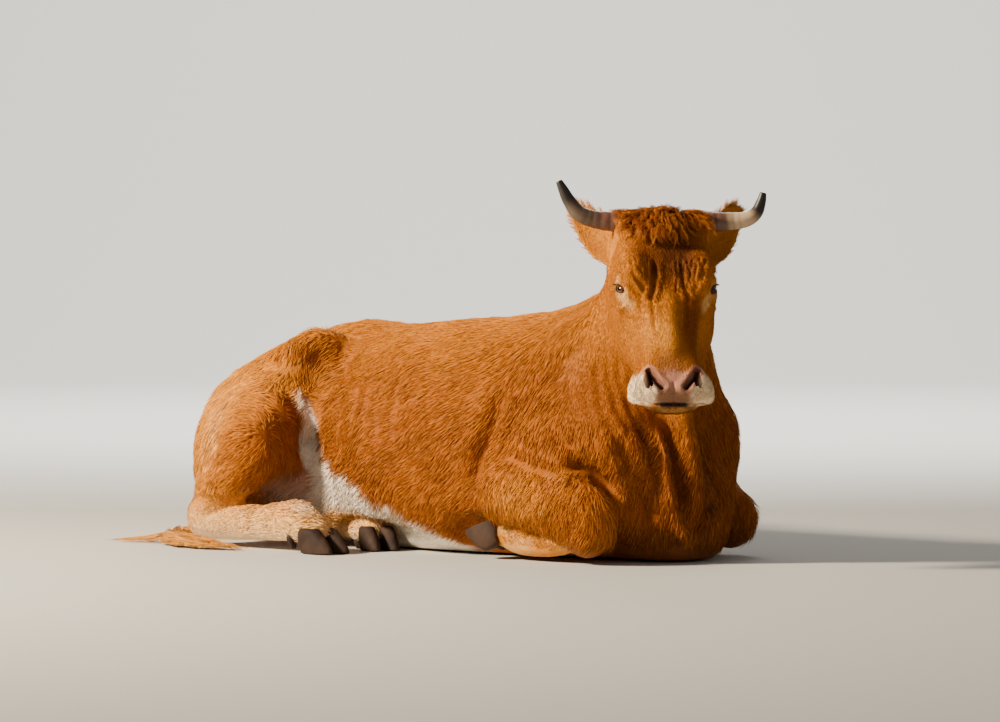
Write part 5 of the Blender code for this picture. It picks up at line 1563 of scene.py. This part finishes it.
# %% Forelock
curls = Hairs("forelock_hair", 11)
draw = curls.draw
number = 230
for i in range(number):
    v0 = draw.uniform(-0.086, 0.086)
    u0 = draw.uniform(-0.045, 0.055 - 0.25 * abs(v0))
    root, normal = on_skin((u0, v0, 0.03))
    middle = max(0.0, 1 - abs(v0) / 0.055)
    length = draw.uniform(0.024, 0.038) * (1 + 0.7 * middle) * (1 if u0 > -0.01 else 0.8)
    unruly = draw.uniform(-0.9, 0.9)
    turn_way = draw.choice((-1, 1))
    upright = u0 < -0.012
    path = []
    steps = 7
    swirl = draw.uniform(0.5, 1.3)
    highest = draw.uniform(0.009, 0.014) * (0.8 + 1.1 * middle)
    for k in range(steps + 1):
        share = k / steps
        along = length * share * (0.45 if upright else 1.0)
        sideways = turn_way * 0.011 * math.sin(share * math.pi * swirl)
        sideways = sideways + (0.38 * v0 + 0.018 * unruly) * share
        arch = 1.5 * share if upright else math.sin(math.pi * min(1, share * 1.15))
        place = root + Vector((along, sideways, 0)) + normal * (highest * arch + 0.002)
        path.append(HEAD @ (place - normal * 0.003 * (share == 0)))
    curls.bundle(path, 14, 0.0085, 0.00055, 1.0)
curls.made(LONG, "long_hair", between_colours((0.3, 0.062, 0.003), (0.56, 0.165, 0.01)),
           nodes_with("forelock"))

# %% Switch of the tail
SWITCH = [Vector(p) + MOVED for p in (
    (-0.752, -0.352, 0.03), (-0.7, -0.44, 0.034), (-0.6, -0.482, 0.03), (-0.49, -0.486, 0.022),
    (-0.395, -0.48, 0.012))]


def along_path(path, share):
    """A place on a path of a few points."""
    at_step = min(share, 0.9999) * (len(path) - 1)
    i = int(at_step)
    return path[i].lerp(path[i + 1], at_step - i)


WISPS = 22
hairs = Hairs("switch_hair", 37)
draw = hairs.draw
for i in range(110):
    begin = draw.uniform(0.0, 0.55)
    reach = draw.uniform(0.35, 0.55)
    drift = draw.uniform(-1, 1)
    high = draw.uniform(0.2, 1.0)
    phase = draw.uniform(0, 6.28)
    path = []
    for k in range(10):
        share = k / 9
        centre = along_path(SWITCH, begin + reach * share)
        ahead = (along_path(SWITCH, begin + reach * share + 0.02) - centre)
        side = Vector((-ahead.y, ahead.x, 0)).normalized()
        wave = 0.011 * math.sin(share * 12 + phase) * share
        place = centre + side * (drift * (0.012 + 0.018 * share) + wave)
        lift = 0.008 * (1 + math.cos(share * 11 + phase)) * share * (1 - share)
        place.z = 0.004 + lift + (0.034 * (1 - share * 0.75)) * high * math.cos(drift * 1.2)
        path.append(place)
    hairs.bundle(path, 11, 0.006, 0.00065, 1.0)
for _ in range(WISPS):
    start = SWITCH[0].lerp(SWITCH[2], 0.5 * draw.random())
    phase = draw.uniform(0, 6.28)
    length = draw.uniform(0.1, 0.21)
    way = Vector((-0.85, -0.38 + draw.uniform(-0.15, 0.15), 0)).normalized()
    side = Vector((-way.y, way.x, 0))
    path = []
    for k in range(10):
        share = k / 9
        place = start + way * length * share + side * 0.012 * math.sin(share * 6 + phase) * share
        place.z = 0.026 * (1 - share) ** 1.6 + 0.004
        path.append(place)
    hairs.bundle(path, 8, 0.0055, 0.0006, 1.0)
hairs.made(LONG, "long_hair", between_colours((0.86, 0.44, 0.1), (0.62, 0.24, 0.03)),
           nodes_with("switch"))

# %% Fringe of the ears and lashes
fringe = Hairs("ear_hair", 23)
draw = fringe.draw
FRINGE_BUNDLES, LASHES = 330, 34
for sign in SIDES.values():
    root, tip, along, opening, across = ear_axes(sign)
    for _ in range(FRINGE_BUNDLES):
        t = draw.choice((draw.uniform(0.12, 1.0), draw.uniform(0.12, 1.0), draw.uniform(0.78, 1.0)))
        edge_side = draw.choice((-1, 1))
        half, cup_deep = (np.interp(t, EAR_ROWS[:, 0], EAR_ROWS[:, k]) for k in (1, 2))
        inside_ear = draw.random() < 0.55
        u_edge = draw.uniform(-0.8, 0.8) if inside_ear else edge_side * draw.uniform(0.88, 0.98)
        start = root + (tip - root) * t + across * half * u_edge
        start = start - opening * (cup_deep * (1 - u_edge ** 2) + 0.003)
        way = along * 0.75 + across * (0.45 * u_edge) + opening * draw.uniform(0.05, 0.45)
        way = way.normalized()
        length = draw.uniform(0.012, 0.021) * (1 + 0.35 * (t > 0.8))
        bow = along * 0.006
        path = [HEAD @ (start + way * length * k / 5 + bow * (k / 5) ** 2) for k in range(6)]
        fringe.bundle(path, 6, 0.0042, 0.00036, 0.6)
fringe.made(LONG, "pale_hair", between_colours(ORANGE, CREAM))

lashes = Hairs("lash_hair", 51)
draw = lashes.draw
for sign in SIDES.values():
    centre, out, inner, up = eye_axes(sign)
    for i in range(LASHES):
        a = math.radians(15 + 150 * i / (LASHES - 1))
        tilt = inner * math.tan(math.radians(EYE_WIDE)) * math.cos(a)
        tilt = tilt + up * math.tan(math.radians(27)) * math.sin(a)
        start = centre + (out + tilt).normalized() * EYE_RADIUS * 1.1
        way = (out * 0.8 + up * 0.15 + inner * 0.5 * math.cos(a)).normalized()
        droop = -up * 0.005
        path = [HEAD @ (start + way * 0.011 * k / 5 + droop * (k / 5) ** 2) for k in range(6)]
        lashes.strand(path, 0.00042, 0.2)
lashes.made(LONG, "long_hair", between_colours((0.05, 0.02, 0.012), (0.1, 0.04, 0.02)))

# %% [markdown]
# ## Eyes, horns and claws
# The eye is a wet ball with a red-brown iris and the level pupil of cattle. The horns keep rings
# of growth near the skull, pale at the root and dark at the blunt tip. The claws are smoothed
# copies of the solids, which are right in place and size.

# %% Eyes
def eye_material():
    made = Finish("eye", (0.1, 0.03, 0.01), 0.1, Specular_IOR_Level=0.2, Coat_Weight=0.35,
                  Coat_Roughness=0.03)
    off = made.attribute("off_axis", "Fac")
    level = made.attribute("pupil", "Fac")
    fibre = made.noise(900.0, 2.0)
    iris = made.mix(fibre, (0.15, 0.042, 0.012), (0.06, 0.016, 0.006))
    iris = made.mix(made.ramp(off, 0.5, 0.62), iris, (0.012, 0.006, 0.004))
    white = made.mix(made.ramp(off, 0.7, 0.8), iris, (0.3, 0.17, 0.12))
    in_pupil = made.ramp(level, 0.9, 1.1, 1.0, 0.0)
    made.set("Base Color", made.mix(in_pupil, white, (0.003, 0.002, 0.002)))
    return made.material


EYE_FINISH = eye_material()
BALL_RADIUS = EYE_RADIUS * 0.97
for side, sign in SIDES.items():
    centre, out, inner, up = eye_axes(sign)
    mesh = bpy.data.meshes.new("eyeball_" + side)
    with edited(mesh) as work:
        bmesh.ops.create_uvsphere(work, u_segments=56, v_segments=36, radius=BALL_RADIUS)
    ball = as_array(mesh) / BALL_RADIUS
    off = np.arccos(np.clip(ball @ np.array(out), -1, 1))
    sideways, upward = ball @ np.array(inner), ball @ np.array(up)
    keep_attribute(mesh, "off_axis", "FLOAT", off)
    level = np.sqrt((sideways / 0.34) ** 2 + (upward / 0.17) ** 2) + (off > 1.4) * 5
    keep_attribute(mesh, "pupil", "FLOAT", level)
    mesh.transform(HEAD @ Matrix.Translation(centre))
    handed_in(clothed(new_object("eyeball_" + side, mesh), EYE_FINISH), ["eye_" + side])

# %% Horns
HORN_PATHS = {
    "right": [(0.0, 0.062, -0.038), (-0.006, 0.1, -0.04), (-0.01, 0.15, -0.038),
              (-0.02, 0.19, -0.028), (-0.046, 0.214, -0.014), (-0.068, 0.228, 0.0),
              (-0.085, 0.238, 0.01)],
    "left": [(0.0, 0.062, -0.038), (-0.006, 0.1, -0.04), (-0.008, 0.15, -0.038),
             (-0.01, 0.192, -0.033), (-0.022, 0.216, -0.024), (-0.042, 0.227, -0.01),
             (-0.06, 0.232, 0.004)],
}
HORN_THICK = (0.0245, 0.024, 0.0205, 0.018, 0.015, 0.0115, 0.0075)


def smooth_path(rows, steps):
    """Catmull-Rom through rows of numbers."""
    rows = np.array(rows, float)
    padded = np.concatenate([[2 * rows[0] - rows[1]], rows, [2 * rows[-1] - rows[-2]]])
    found = []
    for t in np.linspace(0, len(rows) - 1, steps):
        i = min(int(t), len(rows) - 2)
        f = t - i
        a, b, c, d = padded[i:i + 4]
        square, cube = 2 * a - 5 * b + 4 * c - d, 3 * b - a - 3 * c + d
        found.append(0.5 * (2 * b + (c - a) * f + square * f * f + cube * f ** 3))
    return np.array(found)


def horn_material():
    made = Finish("horn", (0.2, 0.13, 0.09), 0.38, Specular_IOR_Level=0.5)
    share = made.attribute("along", "Fac")
    pale = made.attribute("pale", "Fac")
    streak = made.noise(55.0, 4.0)
    base = made.mix(streak, (0.09, 0.034, 0.022), (0.27, 0.125, 0.08))
    smoky = made.mix(made.ramp(share, 0.24, 0.44), base, (0.06, 0.034, 0.024))
    creamy = made.mix(pale * made.ramp(share, 0.28, 0.42), smoky, (0.66, 0.46, 0.28))
    tip = made.mix(made.ramp(share, 0.5, 0.72), creamy, (0.016, 0.01, 0.008))
    grooves = made.attribute("groove", "Fac") * 0.92
    made.set("Base Color", made.mix(grooves, tip, (0.022, 0.01, 0.007)))
    made.set("Roughness", 0.34 + streak * 0.16)
    made.bump(made.noise(300.0, 3.0), 0.25, 0.0008)
    return made.material


HORN_FINISH = horn_material()
for side, sign in SIDES.items():
    rows = smooth_path([(*p, t) for p, t in zip(HORN_PATHS[side], HORN_THICK)], 90)
    centres, thick = rows[:, :3] * np.array((1, sign, 1)), rows[:, 3]
    rings, along_share, groove = [], [], []
    sides = 32
    previous = None
    for i in range(len(rows)):
        share = i / (len(rows) - 1)
        way = Vector(centres[min(i + 1, len(rows) - 1)] - centres[max(i - 1, 0)]).normalized()
        across = way.orthogonal() if previous is None else previous - way * previous.dot(way)
        across = across.normalized()
        previous = across
        other = way.cross(across)
        wave = math.sin(share * 95 + 0.6 * math.sin(share * 31))
        ring_deep = max(0.0, 1 - share / 0.55) * wave
        half = thick[i] * (1 + 0.045 * ring_deep) * (1 if i < len(rows) - 1 else 0.72)
        ring = [HEAD @ (Vector(centres[i]) + (across * math.cos(a) + other * math.sin(a)) * half)
                for a in np.linspace(0, 2 * math.pi, sides, endpoint=False)]
        rings.append(ring)
        along_share += [share] * sides
        groove += [max(0.0, -ring_deep)] * sides
    made = ring_surface("horn_shell_" + side, rings)
    extra_points = len(made.data.vertices) - len(along_share)
    along_share += [1.0] * extra_points
    groove += [0.0] * extra_points
    keep_attribute(made.data, "along", "FLOAT", along_share)
    keep_attribute(made.data, "groove", "FLOAT", groove)
    pale = 1.0 if side == "left" else 0.1
    keep_attribute(made.data, "pale", "FLOAT", [pale] * len(made.data.vertices))
    handed_in(clothed(made, HORN_FINISH), ["horn_" + side])

# %% Claws
def claw_material():
    made = Finish("claw", (0.16, 0.11, 0.09), 0.5, Specular_IOR_Level=0.1)
    layers = made.noise(9.0, 5.0)
    fine = made.noise(160.0, 3.0)
    colour = made.mix(made.ramp(layers, 0.35, 0.65), (0.016, 0.009, 0.007), (0.07, 0.04, 0.028))
    made.set("Base Color", made.mix(fine * 0.5, colour, (0.04, 0.024, 0.018)))
    made.set("Roughness", 0.55 + fine * 0.2)
    made.bump(fine, 0.4, 0.0012)
    return made.material


CLAW_FINISH = claw_material()
for foot in ("foreclaw_left", "foreclaw_right", "hindclaw_left", "hindclaw_right"):
    mine = [name for name in nodes_with("claw_")
            if name.replace("dewclaw", "claw").startswith(foot)]
    claws = [baked(merged_copy(name), "SUBSURF", levels=2, render_levels=2) for name in mine]
    piece = joined(claws, "hoof_" + foot)
    handed_in(clothed(piece, CLAW_FINISH), mine)
    print(foot, "claws", len(mine), "triangles", len(piece.data.polygons))

# %% Clear working data and attach the skin and the coat to the root body
for extra in ("lie", "long", "wide", "root_uv"):
    skin.data.attributes.remove(skin.data.attributes[extra])
for name in BENDS:
    bpy.data.objects.remove(bpy.data.objects["blade_" + name])
bpy.data.collections.remove(blades)
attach(skin, "root")
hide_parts(*FLESH)
for piece in coat:
    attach(piece, "root")

# %% Bounds of everything shown
low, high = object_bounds()
